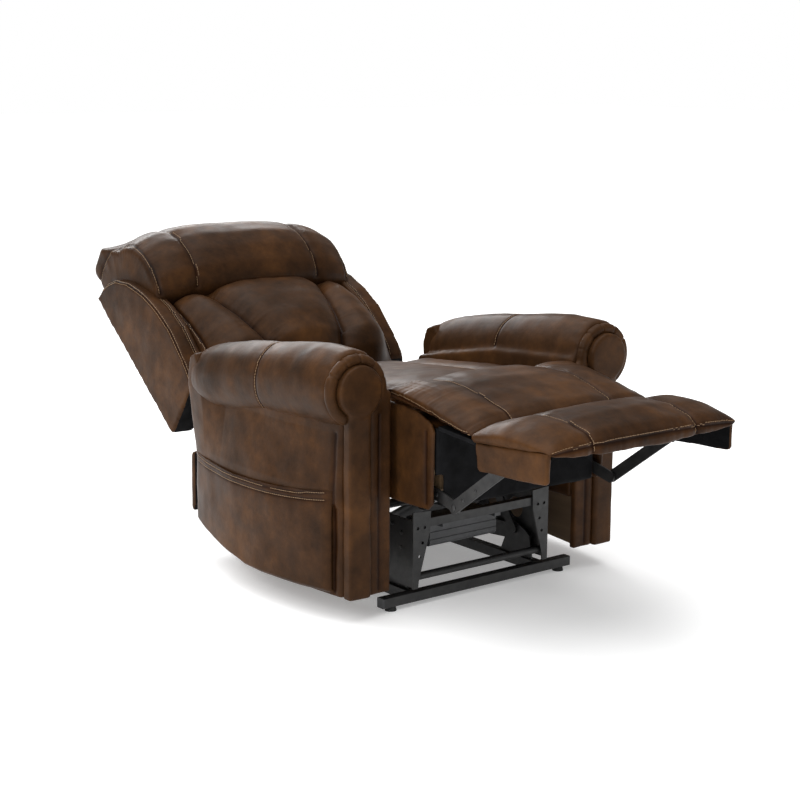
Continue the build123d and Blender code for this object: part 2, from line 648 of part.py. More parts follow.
with BuildPart() as back_brackets:
    for name, side in SIDES:
        with BuildSketch(back_plane(span(side, LOWER_LINK_X, SHEET))):
            with BuildLine():
                Polyline((CORE_LOW, 14), (CORE_LOW, 50), (-72, 112), (PIVOT_UP + 14, PIVOT_OUT + 8),
                         (PIVOT_UP - 4, PIVOT_OUT + 14), (PIVOT_UP - 14, PIVOT_OUT - 6), (-84, 66),
                         (-56, 14), close=True)
            make_face()
            bores(PIN_R + RUN, (PIVOT_UP, PIVOT_OUT))
        extrude(amount=SHEET)
save(back_brackets, "back_brackets")

COVER_T = 8.0
WING_TOP = BACK_TOP - WING_DROP
with BuildPart() as back_cover:
    with BuildSketch(back_plane(-WING_OUT + 2)):
        with Locations(((CORE_LOW + WING_TOP) / 2 + 10, -COVER_T / 2)):
            Rectangle(WING_TOP - CORE_LOW - 20, COVER_T)
    extrude(amount=2 * WING_OUT - 4)
save(back_cover, "back_cover")


def wing_outline(grow):
    """Side profile of the back's wings, grown outwards by that much, in the open sketch."""
    with BuildLine() as outline:
        Line((-grow, 1), (6 - grow, 150))
        corner = TangentArc((6 - grow, 150), (50, 178 + grow), tangent=(0.2, 1))
        Spline(corner @ 1, (180, 202 + grow), (WING_TOP - 160, 178 + grow),
               (WING_TOP - 28 + grow, 100 + grow / 2), (WING_TOP + 2 + grow, 30),
               tangents=((1, 0.1), (0.05, -1)))
        Line((WING_TOP + 2 + grow, 30), (WING_TOP + grow, 1))
        Line((WING_TOP + grow, 1), (-grow, 1))
    make_face(outline.edges())


for name, side in SIDES:
    with BuildPart() as back_wing:
        with BuildSketch(back_plane(span(side, WING_IN, WING_OUT - WING_IN))):
            wing_outline(0)
        extrude(amount=WING_OUT - WING_IN)
        outer_face = back_wing.faces().sort_by(Axis.X)[-1 if side > 0 else 0]
        fillet(outer_face.edges().filter_by(GeomType.BSPLINE), radius=9)
    save(back_wing, f"back_wing_{name}")

CUSHION_TOP = 296.0
LUMBAR = 290.0              # thickest part of the lower cushion, from the rear face of the back
with BuildPart() as back_cushion:
    with BuildSketch(back_plane(-CORE_HALF)):
        with BuildLine():
            Polyline((CORE_LOW + 6, CORE_T + 1), (CORE_LOW + 6, 200), (-20, LUMBAR - 32), (4, LUMBAR - 2),
                     (50, LUMBAR), (125, LUMBAR - 12), (CUSHION_TOP - 46, 246), (CUSHION_TOP, 212),
                     (CUSHION_TOP, CORE_T + 1), close=True)
        make_face()
    extrude(amount=2 * CORE_HALF)
save(back_cushion, "back_cushion")

with BuildPart() as headrest:
    with BuildSketch(back_plane(-BOLSTER_HALF)):
        with BuildLine():
            Polyline((CUSHION_TOP + 3, CORE_T + 1), (CUSHION_TOP + 3, 210), (CUSHION_TOP + 44, 244),
                     (CUSHION_TOP + 104, 254), (BACK_TOP - 100, 248), (BACK_TOP - 45, 224),
                     (BACK_TOP + 2, 178), (BACK_TOP + 30, 132), (BACK_TOP + 40, 70), (BACK_TOP + 24, 20),
                     (BACK_TOP + 2, 10), (BACK_TOP + 2, CORE_T + 1), close=True)
        make_face()
    extrude(amount=2 * BOLSTER_HALF)
    for name, side in SIDES:
        with BuildSketch(back_plane(span(side, WING_IN - 2, BOLSTER_HALF - WING_IN + 3))):
            wing_outline(3)
        extrude(amount=BOLSTER_HALF - WING_IN + 3, mode=Mode.SUBTRACT)
save(headrest, "headrest")

# ---- arms ------------------------------------------------------------------------------------------
BOARD_IN = ARM_IN + PANEL_T
BOARD_OUT = BOARD_IN + BOARD
ROLL_Z = ARM_TOP - ROLL_R
BOARD_TOP_FRONT = ROLL_Z - 46.0
for name, side in SIDES:
    with BuildPart() as arm_board:
        with BuildSketch(side_plane(span(side, BOARD_IN, BOARD))):
            with BuildLine():
                Polyline((0, ARM_FOOT + 6), (0, BOARD_TOP_FRONT), (ARM_REAR - 25, BOARD_TOP_FRONT - ROLL_DROP),
                         (ARM_REAR - 25, 105), close=True)
            make_face()
        extrude(amount=BOARD)
    save(arm_board, f"arm_board_{name}")

    # roll over the board, falling towards the rear, with the inner face of the arm below it
    with BuildPart() as arm_roll:
        with BuildSketch(front_plane(0)):
            with Locations((side * ROLL_X, ROLL_Z)):
                Circle(ROLL_R)
        with BuildSketch(front_plane(ARM_REAR)):
            with Locations((side * ROLL_X, ROLL_Z - ROLL_DROP)):
                Circle(ROLL_R)
        loft()
        with BuildSketch(side_plane(span(side, ARM_IN, PANEL_T))):
            with BuildLine():
                Polyline((0, 180), (0, ROLL_Z), (ARM_REAR - 10, ROLL_Z - ROLL_DROP), (ARM_REAR - 10, 180),
                         close=True)
            make_face()
        extrude(amount=PANEL_T)
        # seat for the board and the side panel
        with BuildSketch(side_plane(span(side, BOARD_IN - 0.2, 170))):
            with BuildLine():
                Polyline((-5, 0), (-5, BOARD_TOP_FRONT + 2), (ARM_REAR + 5, BOARD_TOP_FRONT - ROLL_DROP + 1),
                         (ARM_REAR + 5, 0), close=True)
            make_face()
        extrude(amount=170, mode=Mode.SUBTRACT)
    save(arm_roll, f"arm_roll_{name}")

    bow = BOW if side > 0 else BOW - POCKET_GAP / 2 - POCKET_T
    with BuildPart() as arm_side:
        with BuildSketch(floor_plane(ARM_FOOT)):
            with BuildLine():
                Line((side * BOARD_OUT, 0), (side * ARM_OUT, 0))
                ThreePointArc((side * ARM_OUT, 0), (side * (ARM_OUT + bow), ARM_REAR / 2 - 20),
                              (side * ARM_OUT, ARM_REAR))
                Line((side * ARM_OUT, ARM_REAR), (side * BOARD_OUT, ARM_REAR))
                Line((side * BOARD_OUT, ARM_REAR), (side * BOARD_OUT, 0))
            make_face()
        extrude(amount=BOARD_TOP_FRONT - ARM_FOOT)
        with BuildSketch(side_plane(-500)):
            with BuildLine():
                Polyline((-5, BOARD_TOP_FRONT), (-5, 560), (ARM_REAR + 5, 560),
                         (ARM_REAR + 5, BOARD_TOP_FRONT - ROLL_DROP), close=True)
            make_face()
            with BuildLine():
                Polyline((330, ARM_FOOT - 5), (ARM_REAR + 5, ARM_FOOT - 5), (ARM_REAR + 5, 105), close=True)
            make_face()
        extrude(amount=1000, mode=Mode.SUBTRACT)
    save(arm_side, f"arm_side_{name}")

    # padded front: a round head over a straight post
    with BuildPart() as arm_front:
        with BuildSketch(front_plane(0)):
            with Locations((side * ROLL_X, ROLL_Z)):
                Circle(ROLL_R)
            with Locations((side * (ARM_IN + ARM_OUT) / 2, (ARM_FOOT + ROLL_Z) / 2)):
                Rectangle(ARM_OUT - ARM_IN, ROLL_Z - ARM_FOOT)
        extrude(amount=POST_T)
        fillet(arm_front.faces().sort_by(Axis.Y)[0].edges(), radius=8)
    save(arm_front, f"arm_front_{name}")

# side pocket of the right arm: a leather panel standing off the bowed side, open at the top
bow = BOW - POCKET_GAP / 2 - POCKET_T
mid_y = ARM_REAR / 2 - 20
with BuildPart() as side_pocket:
    with BuildSketch(floor_plane(POCKET_LOW)):
        with BuildLine():
            outer = ThreePointArc((-ARM_OUT - 6, POCKET_Y[0]), (-ARM_OUT - bow - POCKET_GAP - POCKET_T, mid_y),
                                  (-ARM_OUT - 6, POCKET_Y[1]))
            Line(outer @ 1, (-ARM_OUT + 14, POCKET_Y[1]))
            Line((-ARM_OUT + 14, POCKET_Y[1]), (-ARM_OUT + 14, POCKET_Y[0]))
            Line((-ARM_OUT + 14, POCKET_Y[0]), outer @ 0)
        make_face()
    extrude(amount=POCKET_TOP - POCKET_LOW)
    with BuildSketch(floor_plane(POCKET_LOW + POCKET_T)):
        with BuildLine():
            inner = ThreePointArc((-ARM_OUT - 2, POCKET_Y[0] + 8), (-ARM_OUT - bow - POCKET_GAP, mid_y),
                                  (-ARM_OUT - 2, POCKET_Y[1] - 8))
            Line(inner @ 1, (-ARM_OUT + 20, POCKET_Y[1] - 8))
            Line((-ARM_OUT + 20, POCKET_Y[1] - 8), (-ARM_OUT + 20, POCKET_Y[0] + 8))
            Line((-ARM_OUT + 20, POCKET_Y[0] + 8), inner @ 0)
        make_face()
    extrude(amount=POCKET_TOP - POCKET_LOW, mode=Mode.SUBTRACT)
    # the arm's own side closes the pocket's inner face
    with BuildSketch(floor_plane(POCKET_LOW - 5)):
        with BuildLine():
            Line((-BOARD_OUT, -5), (-ARM_OUT - 0.3, -5))
            ThreePointArc((-ARM_OUT - 0.3, -5), (-ARM_OUT - bow - 0.3, mid_y), (-ARM_OUT - 0.3, ARM_REAR + 5))
            Line((-ARM_OUT - 0.3, ARM_REAR + 5), (-BOARD_OUT, ARM_REAR + 5))
            Line((-BOARD_OUT, ARM_REAR + 5), (-BOARD_OUT, -5))
        make_face()
    extrude(amount=POCKET_TOP - POCKET_LOW + 10, mode=Mode.SUBTRACT)
save(side_pocket, "side_pocket")

# hand control lying in the pocket, with its two keys
CONTROL_X = -ARM_OUT - bow - POCKET_GAP / 2
CONTROL_T = 15.0
CONTROL_Y = (270.0, 316.0)
CONTROL_Z = (POCKET_LOW + POCKET_T + 2, 252.0)
KEY_R = 7.0
KEY_TRAVEL = 1.5
KEY_Z = (224.0, 198.0)
with BuildPart() as hand_control:
    block(CONTROL_X - CONTROL_T / 2, CONTROL_X + CONTROL_T / 2, CONTROL_Y[0], CONTROL_Y[1],
          CONTROL_Z[0], CONTROL_Z[1])
    fillet(hand_control.edges().filter_by(Axis.X), radius=10)
    with BuildSketch(side_plane(CONTROL_X - CONTROL_T / 2)):
        with Locations(*[(sum(CONTROL_Y) / 2, z) for z in KEY_Z]):
            Circle(KEY_R + 0.3)
    extrude(amount=5, mode=Mode.SUBTRACT)
save(hand_control, "hand_control")

for name, z in (("key_up", KEY_Z[0]), ("key_down", KEY_Z[1])):
    with BuildPart() as key:
        rod(CONTROL_X - CONTROL_T / 2 - 1.0, CONTROL_X - CONTROL_T / 2 + 3.2, (sum(CONTROL_Y) / 2, z), KEY_R)
        fillet(key.edges().filter_by(GeomType.CIRCLE).sort_by(Axis.X)[0], radius=0.8)
    save(key, name)

# lower rear panel between the arms
REAR_T = 18.0
REAR_HALF = 342.0
with BuildPart() as rear_panel:
    with BuildSketch(front_plane(REAR_Y)):
        with Locations((0, (88 + 250) / 2)):
            RectangleRounded(2 * REAR_HALF, 250 - 88, 20)
    extrude(amount=-REAR_T)
    fillet(rear_panel.edges().filter_by(GeomType.LINE).group_by(Axis.Y)[-1], radius=4)
save(rear_panel, "rear_panel")
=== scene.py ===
from math import cos, pi, radians, sin

import bmesh
import bpy
import numpy as np
from mathutils import Matrix, Vector, noise
from mathutils.bvhtree import BVHTree


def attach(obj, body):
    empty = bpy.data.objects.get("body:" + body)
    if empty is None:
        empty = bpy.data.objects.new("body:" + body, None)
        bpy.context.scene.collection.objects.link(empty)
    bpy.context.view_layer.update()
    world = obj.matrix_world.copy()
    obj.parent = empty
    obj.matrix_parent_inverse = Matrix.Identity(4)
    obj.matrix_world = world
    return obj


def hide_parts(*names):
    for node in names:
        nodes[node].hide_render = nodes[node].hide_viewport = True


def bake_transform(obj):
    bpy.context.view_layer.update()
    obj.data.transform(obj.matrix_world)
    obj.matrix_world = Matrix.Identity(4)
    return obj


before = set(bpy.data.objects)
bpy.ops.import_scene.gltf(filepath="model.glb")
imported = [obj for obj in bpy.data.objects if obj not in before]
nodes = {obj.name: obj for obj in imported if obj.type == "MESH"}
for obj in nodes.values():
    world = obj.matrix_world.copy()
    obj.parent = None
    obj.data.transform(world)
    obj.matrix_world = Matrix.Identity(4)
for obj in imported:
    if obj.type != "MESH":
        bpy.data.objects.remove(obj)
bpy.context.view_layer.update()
frontY = -0.371  # front face of the front floor bar, from which y sizes are measured
print("frame loaded:", len(nodes), "CAD pieces")


# placing: chair, reclined back and footrest, all in metres
def chairPlace(x, y, z):
    return Vector((x, frontY + y, z))


backTilt = radians(38.5)
footTilt = radians(4.0)


def backPlace(x, up, out):
    return chairPlace(x, 0.834 + up * cos(backTilt) - out * sin(backTilt),
                      0.289 + up * sin(backTilt) + out * cos(backTilt))


def footPlace(x, forward, rise):
    return chairPlace(x, -0.288 - forward * cos(footTilt) + rise * sin(footTilt),
                      0.440 + forward * sin(footTilt) + rise * cos(footTilt))


# finishes
def newFinish(name):
    finish = bpy.data.materials.new(name)
    finish.use_nodes = True
    shader = finish.node_tree.nodes["Principled BSDF"]
    return finish, finish.node_tree, shader


def add(tree, kind, **values):
    node = tree.nodes.new(kind)
    for key, value in values.items():
        if key in node.inputs:
            node.inputs[key].default_value = value
        else:
            setattr(node, key, value)
    return node


def spots(tree, scale, detail=4.0, rough=0.55, source=None):
    place = source or add(tree, "ShaderNodeTexCoord").outputs["Object"]
    cloud = add(tree, "ShaderNodeTexNoise", Scale=scale, Detail=detail, Roughness=rough)
    tree.links.new(place, cloud.inputs["Vector"])
    return cloud.outputs["Fac"]


def ramp(tree, fac, stops):
    band = add(tree, "ShaderNodeValToRGB")
    while len(band.color_ramp.elements) < len(stops):
        band.color_ramp.elements.new(0.5)
    for element, (place, colour) in zip(band.color_ramp.elements, stops):
        element.position = place
        element.color = colour if len(colour) == 4 else (*colour, 1.0)
    tree.links.new(fac, band.inputs["Fac"])
    return band.outputs["Color"]


def spread(tree, fac, low, high, fromLow=0.3, fromHigh=0.7):
    scaled = add(tree, "ShaderNodeMapRange")
    for key, value in (("From Min", fromLow), ("From Max", fromHigh), ("To Min", low), ("To Max", high)):
        scaled.inputs[key].default_value = value
    tree.links.new(fac, scaled.inputs["Value"])
    return scaled.outputs["Result"]


def bump(tree, height, strength, distance, under=None):
    relief = add(tree, "ShaderNodeBump", Strength=strength, Distance=distance)
    tree.links.new(height, relief.inputs["Height"])
    if under is not None:
        tree.links.new(under, relief.inputs["Normal"])
    return relief.outputs["Normal"]


leather = {
    "dark": (0.0150, 0.0074, 0.0036),
    "middle": (0.047, 0.0205, 0.0078),
    "amber": (0.112, 0.0460, 0.0135),
    "roughness": (0.36, 0.48),
    "gloss": 0.07,
    "coat": 0.012,
}


def leatherFinish():
    finish, tree, shader = newFinish("burnishedLeather")
    cloudy = spots(tree, 5.5, 5.0, 0.6)
    mottled = spots(tree, 26.0, 5.0, 0.65)
    mixed = add(tree, "ShaderNodeMix", data_type="FLOAT")
    mixed.inputs[0].default_value = 0.36
    tree.links.new(cloudy, mixed.inputs[2])
    tree.links.new(mottled, mixed.inputs[3])
    tone = ramp(tree, mixed.outputs[0], ((0.30, leather["dark"]), (0.50, leather["middle"]),
                                         (0.76, leather["amber"])))
    # painted shade: the colour is darkened in the folds and along the sewn edges
    edge = add(tree, "ShaderNodeAttribute", attribute_name="painted_seam_shade")
    shade = add(tree, "ShaderNodeMix", data_type="RGBA", blend_type="MULTIPLY")
    tree.links.new(edge.outputs["Fac"], shade.inputs[0])
    tree.links.new(tone, shade.inputs[6])
    shade.inputs[7].default_value = (0.34, 0.27, 0.25, 1.0)
    tree.links.new(shade.outputs[2], shader.inputs["Base Color"])
    tree.links.new(spread(tree, spots(tree, 14.0), *leather["roughness"]), shader.inputs["Roughness"])
    pebbles = add(tree, "ShaderNodeTexVoronoi", Scale=520.0)
    place = add(tree, "ShaderNodeTexCoord")
    tree.links.new(place.outputs["Object"], pebbles.inputs["Vector"])
    soft = bump(tree, spots(tree, 60.0, 3.0), 0.25, 0.0016)
    tree.links.new(bump(tree, pebbles.outputs["Distance"], 0.14, 0.0006, soft), shader.inputs["Normal"])
    shader.inputs["Specular IOR Level"].default_value = leather["gloss"]
    shader.inputs["Coat Weight"].default_value = leather["coat"]
    shader.inputs["Coat Roughness"].default_value = 0.28
    return finish


def plainFinish(name, colours, roughness, scale, metallic=0.0, grain=(300.0, 0.1, 0.0004), stretch=None):
    finish, tree, shader = newFinish(name)
    source = None
    if stretch:
        place = add(tree, "ShaderNodeTexCoord")
        turn = add(tree, "ShaderNodeMapping")
        turn.inputs["Scale"].default_value = stretch
        tree.links.new(place.outputs["Object"], turn.inputs["Vector"])
        source = turn.outputs["Vector"]
    cloud = spots(tree, scale, 5.0, 0.6, source)
    tree.links.new(ramp(tree, cloud, ((0.36, colours[0]), (0.64, colours[1]))), shader.inputs["Base Color"])
    tree.links.new(spread(tree, spots(tree, scale * 2.3, 3.0, 0.5, source), *roughness),
                   shader.inputs["Roughness"])
    tree.links.new(bump(tree, spots(tree, grain[0], 2.0, 0.5, source), grain[1], grain[2]),
                   shader.inputs["Normal"])
    shader.inputs["Metallic"].default_value = metallic
    return finish


def fabricFinish():
    finish, tree, shader = newFinish("blackLining")
    place = add(tree, "ShaderNodeTexCoord")
    threads = []
    for axis in ("X", "Z"):
        wave = add(tree, "ShaderNodeTexWave", Scale=260.0, bands_direction=axis)
        tree.links.new(place.outputs["Object"], wave.inputs["Vector"])
        threads.append(wave.outputs["Fac"])
    cross = add(tree, "ShaderNodeMath", operation="MULTIPLY")
    tree.links.new(threads[0], cross.inputs[0])
    tree.links.new(threads[1], cross.inputs[1])
    tone = ramp(tree, spots(tree, 30.0), ((0.35, (0.0035, 0.0035, 0.0038)), (0.65, (0.008, 0.008, 0.009))))
    tree.links.new(tone, shader.inputs["Base Color"])
    tree.links.new(spread(tree, spots(tree, 40.0), 0.78, 0.92), shader.inputs["Roughness"])
    tree.links.new(bump(tree, cross.outputs["Value"], 0.3, 0.0005), shader.inputs["Normal"])
    shader.inputs["Specular IOR Level"].default_value = 0.10
    return finish


finishes = {
    "upholstery": leatherFinish(),
    "lining": fabricFinish(),
    "mechanism": plainFinish("blackSteel", ((0.0070, 0.0070, 0.0074), (0.016, 0.0155, 0.015)),
                             (0.36, 0.54), 30.0),
    "rod": plainFinish("brightRod", ((0.42, 0.42, 0.43), (0.55, 0.55, 0.56)), (0.18, 0.3), 40.0, 1.0),
    "timber": plainFinish("stainedTimber", ((0.10, 0.060, 0.030), (0.19, 0.12, 0.062)), (0.6, 0.8), 9.0,
                          0.0, (90.0, 0.2, 0.0006), (1.0, 0.12, 1.0)),
    "plastic": plainFinish("greyPlastic", ((0.030, 0.031, 0.033), (0.048, 0.049, 0.052)), (0.38, 0.52), 25.0),
    "rubber": plainFinish("blackRubber", ((0.008, 0.008, 0.008), (0.018, 0.018, 0.018)), (0.7, 0.88), 60.0),
    "thread": plainFinish("tanThread", ((0.20, 0.120, 0.060), (0.30, 0.185, 0.095)), (0.55, 0.75), 200.0,
                          0.0, (2400.0, 0.4, 0.0003)),
}

nodeFinish = {
    "mechanism": ("base_front_bar", "base_rear_bar", "base_side_rails", "actuator_bar", "base_brackets",
                  "lift_rear_links", "lift_torque_tube", "lift_front_links", "chair_side_plates",
                  "front_legs", "cross_tubes", "seat_glides", "drive_rail", "mechanism_plates",
                  "leg_lower_links", "leg_torque_tube", "leg_upper_links", "back_brackets",
                  "foot_brackets"),
    "plastic": ("tube_caps", "lift_actuator", "lift_motor", "drive_motor", "drive_carriage",
                "hand_control", "key_up", "key_down"),
    "rod": ("lift_rod",),
    "rubber": ("floor_feet",),
    "timber": ("arm_board_right", "arm_board_left", "seat_rails", "seat_deck", "cross_rails", "back_frame"),
    "lining": ("leg_board", "foot_board"),
}
for slotName, names in nodeFinish.items():
    for name in names:
        node = nodes[name]
        node.data.materials.clear()
        node.data.materials.append(finishes[slotName])
print("finishes ready")


# tools for sewn and padded pieces
def prism(mesh, outline, low, high, place):
    # closed outline pulled straight from one side to the other
    ring = [mesh.verts.new(place(low, p, q)) for p, q in outline]
    face = mesh.faces.new(ring)
    pulled = bmesh.ops.extrude_face_region(mesh, geom=[face], use_keep_orig=True)
    moved = [v for v in pulled["geom"] if isinstance(v, bmesh.types.BMVert)]
    shift = place(high, 0, 0) - place(low, 0, 0)
    bmesh.ops.translate(mesh, verts=moved, vec=shift)
    bmesh.ops.recalc_face_normals(mesh, faces=mesh.faces[:])


def tube(mesh, rings, corners=40):
    # closed tube through rings of (centre, half width x, half height z), all facing along y
    loops = []
    for centre, wide, high in rings:
        made = bmesh.ops.create_circle(mesh, segments=corners, radius=1.0)
        verts = made["verts"]
        bmesh.ops.transform(mesh, verts=verts, matrix=Matrix.Translation(centre)
                            @ Matrix.Diagonal((wide, 1.0, high, 1.0)) @ Matrix.Rotation(pi / 2, 4, "X"))
        loops.append(list({e for v in verts for e in v.link_edges}))
    for first, second in zip(loops, loops[1:]):
        bmesh.ops.bridge_loops(mesh, edges=first + second)
    for loop in (loops[0], loops[-1]):
        bmesh.ops.holes_fill(mesh, edges=loop, sides=0)
    bmesh.ops.recalc_face_normals(mesh, faces=mesh.faces[:])


def box(mesh, low, high):
    made = bmesh.ops.create_cube(mesh, size=1.0)
    low, high = Vector(low), Vector(high)
    bmesh.ops.scale(mesh, verts=made["verts"], vec=high - low)
    bmesh.ops.translate(mesh, verts=made["verts"], vec=(low + high) / 2)


def newPiece(name, mesh):
    data = bpy.data.meshes.new(name)
    mesh.to_mesh(data)
    mesh.free()
    piece = bpy.data.objects.new(name, data)
    bpy.context.collection.objects.link(piece)
    return piece


def settle(piece):
    # modifiers become plain mesh
    bpy.context.view_layer.update()
    graph = bpy.context.evaluated_depsgraph_get()
    data = bpy.data.meshes.new_from_object(piece.evaluated_get(graph))
    piece.modifiers.clear()
    old = piece.data
    piece.data = data
    bpy.data.meshes.remove(old)
    data.name = piece.name


def soften(piece, cell, rounds, finer=1):
    remesh = piece.modifiers.new("remesh", "REMESH")
    remesh.mode = "VOXEL"
    remesh.voxel_size = cell
    smooth = piece.modifiers.new("smooth", "SMOOTH")
    smooth.factor = 0.5
    smooth.iterations = rounds
    if finer:
        finerSkin = piece.modifiers.new("finer", "SUBSURF")
        finerSkin.levels = finer
        finerSkin.render_levels = finer
    settle(piece)


def readPlaces(piece):
    count = len(piece.data.vertices)
    places = np.empty(count * 3)
    normals = np.empty(count * 3)
    piece.data.vertices.foreach_get("co", places)
    piece.data.vertices.foreach_get("normal", normals)
    return places.reshape(-1, 3), normals.reshape(-1, 3)


def writePlaces(piece, places):
    piece.data.vertices.foreach_set("co", places.ravel())
    piece.data.update()


def skinTree(piece):
    graph = bpy.context.evaluated_depsgraph_get()
    bpy.context.view_layer.update()
    return BVHTree.FromObject(piece, graph)


def evenly(points, step):
    # smooth line through the points, with a mark every step
    ends = [points[0] * 2 - points[1]] + list(points) + [points[-1] * 2 - points[-2]]
    fine = []
    for a, b, c, d in zip(ends, ends[1:], ends[2:], ends[3:]):
        for k in range(16):
            t = k / 16
            fine.append(0.5 * ((2 * b) + (c - a) * t + (2 * a - 5 * b + 4 * c - d) * t * t
                               + (3 * b - a - 3 * c + d) * t ** 3))
    fine.append(points[-1])
    line = np.array([tuple(p) for p in fine])
    run = np.concatenate(([0], np.cumsum(np.linalg.norm(np.diff(line, axis=0), axis=1))))
    marks = np.linspace(0, run[-1], max(2, int(run[-1] / step) + 1))
    return np.stack([np.interp(marks, run, line[:, k]) for k in range(3)], axis=1)


def onSkin(tree, points, step=0.004):
    marks = evenly([Vector(p) for p in points], step)
    line = np.array([tuple(tree.find_nearest(Vector(p))[0]) for p in marks])
    for _ in range(3):  # irons out the steps between facets
        line[1:-1] = (line[:-2] + 2 * line[1:-1] + line[2:]) / 4
    return line


def reach(places, line):
    # distance of every point from the line, and how far along the line it lies
    step = np.linalg.norm(np.diff(line, axis=0), axis=1).mean()
    along = np.gradient(line, axis=0)
    along /= np.linalg.norm(along, axis=1)[:, None] + 1e-12
    away = np.empty(len(places))
    run = np.empty(len(places))
    for part in np.array_split(np.arange(len(places)), max(1, len(places) // 6000)):
        gap = places[part][:, None, :] - line[None]
        square = (gap ** 2).sum(-1)
        nearest = square.argmin(1)
        offset = gap[np.arange(len(part)), nearest]
        slide = np.clip((offset * along[nearest]).sum(1), -step / 2, step / 2)
        away[part] = np.sqrt(np.maximum(square[np.arange(len(part)), nearest] - slide ** 2, 0))
        run[part] = nearest * step + slide
    return away, run


def rumple(values, seed, rough=1.0):
    # one even random value for each place on a line
    marks = np.arange(int(values.max()) + 3)
    table = np.array([noise.noise(Vector((k * rough * 0.91, seed * 7.13, 2.7))) for k in marks])
    return np.interp(values, marks, table)


def cloud(places, scale, seed):
    shift = Vector((seed * 3.1, seed * 1.7, seed * 5.3))
    return np.array([noise.noise(Vector(p) * scale + shift) for p in places])


def sew(piece, seams, puff=0.0, puffReach=0.05, swell=None, unevenness=0.0, seed=1):
    # the skin rises between its seams and sinks along them, with gathers where the leather is drawn in
    places, normals = readPlaces(piece)
    tree = skinTree(piece)
    rise = np.zeros(len(places))
    padding = np.ones(len(places))
    nearest = np.full(len(places), 1.0)
    for seam in seams:
        line = onSkin(tree, seam["path"])
        seam["line"] = line
        away, run = reach(places, line)
        width = seam.get("width", 0.006)
        ends = np.clip(np.minimum(run, run.max() - run) / 0.03, 0.0, 1.0) if seam.get("fades") else 1.0
        rise -= seam.get("depth", 0.002) * np.exp(-(away / width) ** 2) * ends
        if seam.get("valley"):
            rise -= seam["valley"] * np.exp(-(away / seam.get("valleyWidth", 0.02)) ** 2) * ends
        if seam.get("gather"):
            size, length, pitch = seam["gather"]
            pleat = rumple(run / pitch, seed + len(line)) + 0.5 * rumple(run / pitch * 2.1, seed + 3)
            rise += size * pleat * np.exp(-away / length) * np.clip(away / 0.004, 0, 1)
        if not seam.get("fold"):
            padding *= 1 - np.exp(-(away / puffReach) ** 2)
            nearest = np.minimum(nearest, away)
        else:
            nearest = np.minimum(nearest, away + 0.006)
    rise += puff * padding
    if swell is not None:
        rise += swell(places, normals)
    if unevenness:
        rise += unevenness * (cloud(places, 9.0, seed) + 0.45 * cloud(places, 24.0, seed + 1))
    writePlaces(piece, places + normals * rise[:, None])
    # painted shade: darkens the leather colour along the seams and folds, strongest in the seam grooves
    shade = np.exp(-(nearest / 0.0035) ** 2) * 0.9 + np.exp(-(nearest / 0.02)) * 0.45
    mark = piece.data.attributes.new("painted_seam_shade", "FLOAT", "POINT")
    mark.data.foreach_set("value", np.clip(shade, 0, 1).astype(np.float32))


thread = {"pitch": 0.0072, "length": 0.0054, "thickness": 0.0011}


def stitch(name, piece, rows):
    # short thread bars lying on the finished skin; each row is (line on the skin, sideways offset)
    tree = skinTree(piece)
    mesh = bmesh.new()
    for line, offset in rows:
        marks = evenly([Vector(p) for p in line[::4]] + [Vector(line[-1])], thread["pitch"])
        for here, there in zip(marks[:-1], marks[1:]):
            middle = Vector((here + there) / 2)
            along = Vector(there - here).normalized()
            spot, normal, _, _ = tree.find_nearest(middle)
            if normal is None:
                continue
            across = along.cross(normal).normalized()
            spot, normal, _, _ = tree.find_nearest(spot + across * offset)
            along = (along - normal * along.dot(normal)).normalized()
            across = normal.cross(along)
            turn = Matrix((along, across, normal)).transposed().to_4x4()
            size = Matrix.Diagonal((thread["length"], thread["thickness"], thread["thickness"] * 0.8, 1.0))
            bmesh.ops.create_cube(mesh, size=1.0,
                                  matrix=Matrix.Translation(spot + normal * 0.0003) @ turn @ size)
    stitches = newPiece(name, mesh)
    stitches.data.materials.append(finishes["thread"])
    return stitches


def finishPiece(piece, slotName="upholstery", backFinish=None, isBack=None):
    piece.data.materials.clear()
    piece.data.materials.append(finishes[slotName])
    if backFinish:
        piece.data.materials.append(finishes[backFinish])
        for face in piece.data.polygons:
            if isBack(face):
                face.material_index = 1
    for face in piece.data.polygons:
        face.use_smooth = True


def seamRows(seams):
    rows = []
    for seam in seams:
        if seam.get("rows"):
            rows += [(seam["line"], offset) for offset in seam["rows"]]
    return rows


sides = (("right", -1), ("left", 1))


# back
headrest = {
    "outline": ((0.300, 0.058), (0.297, 0.205), (0.312, 0.226), (0.345, 0.245), (0.40, 0.254), (0.455, 0.249),
                (0.515, 0.224), (0.560, 0.180), (0.588, 0.130), (0.603, 0.070), (0.600, 0.014),
                (0.590, -0.008), (0.488, -0.009), (0.488, 0.058)),
    "halfWidth": 0.316,
    "seamX": 0.196,
    "cell": 0.006,
    "rounding": 20,
    "puff": 0.008,
    "endDrop": 0.30,
}


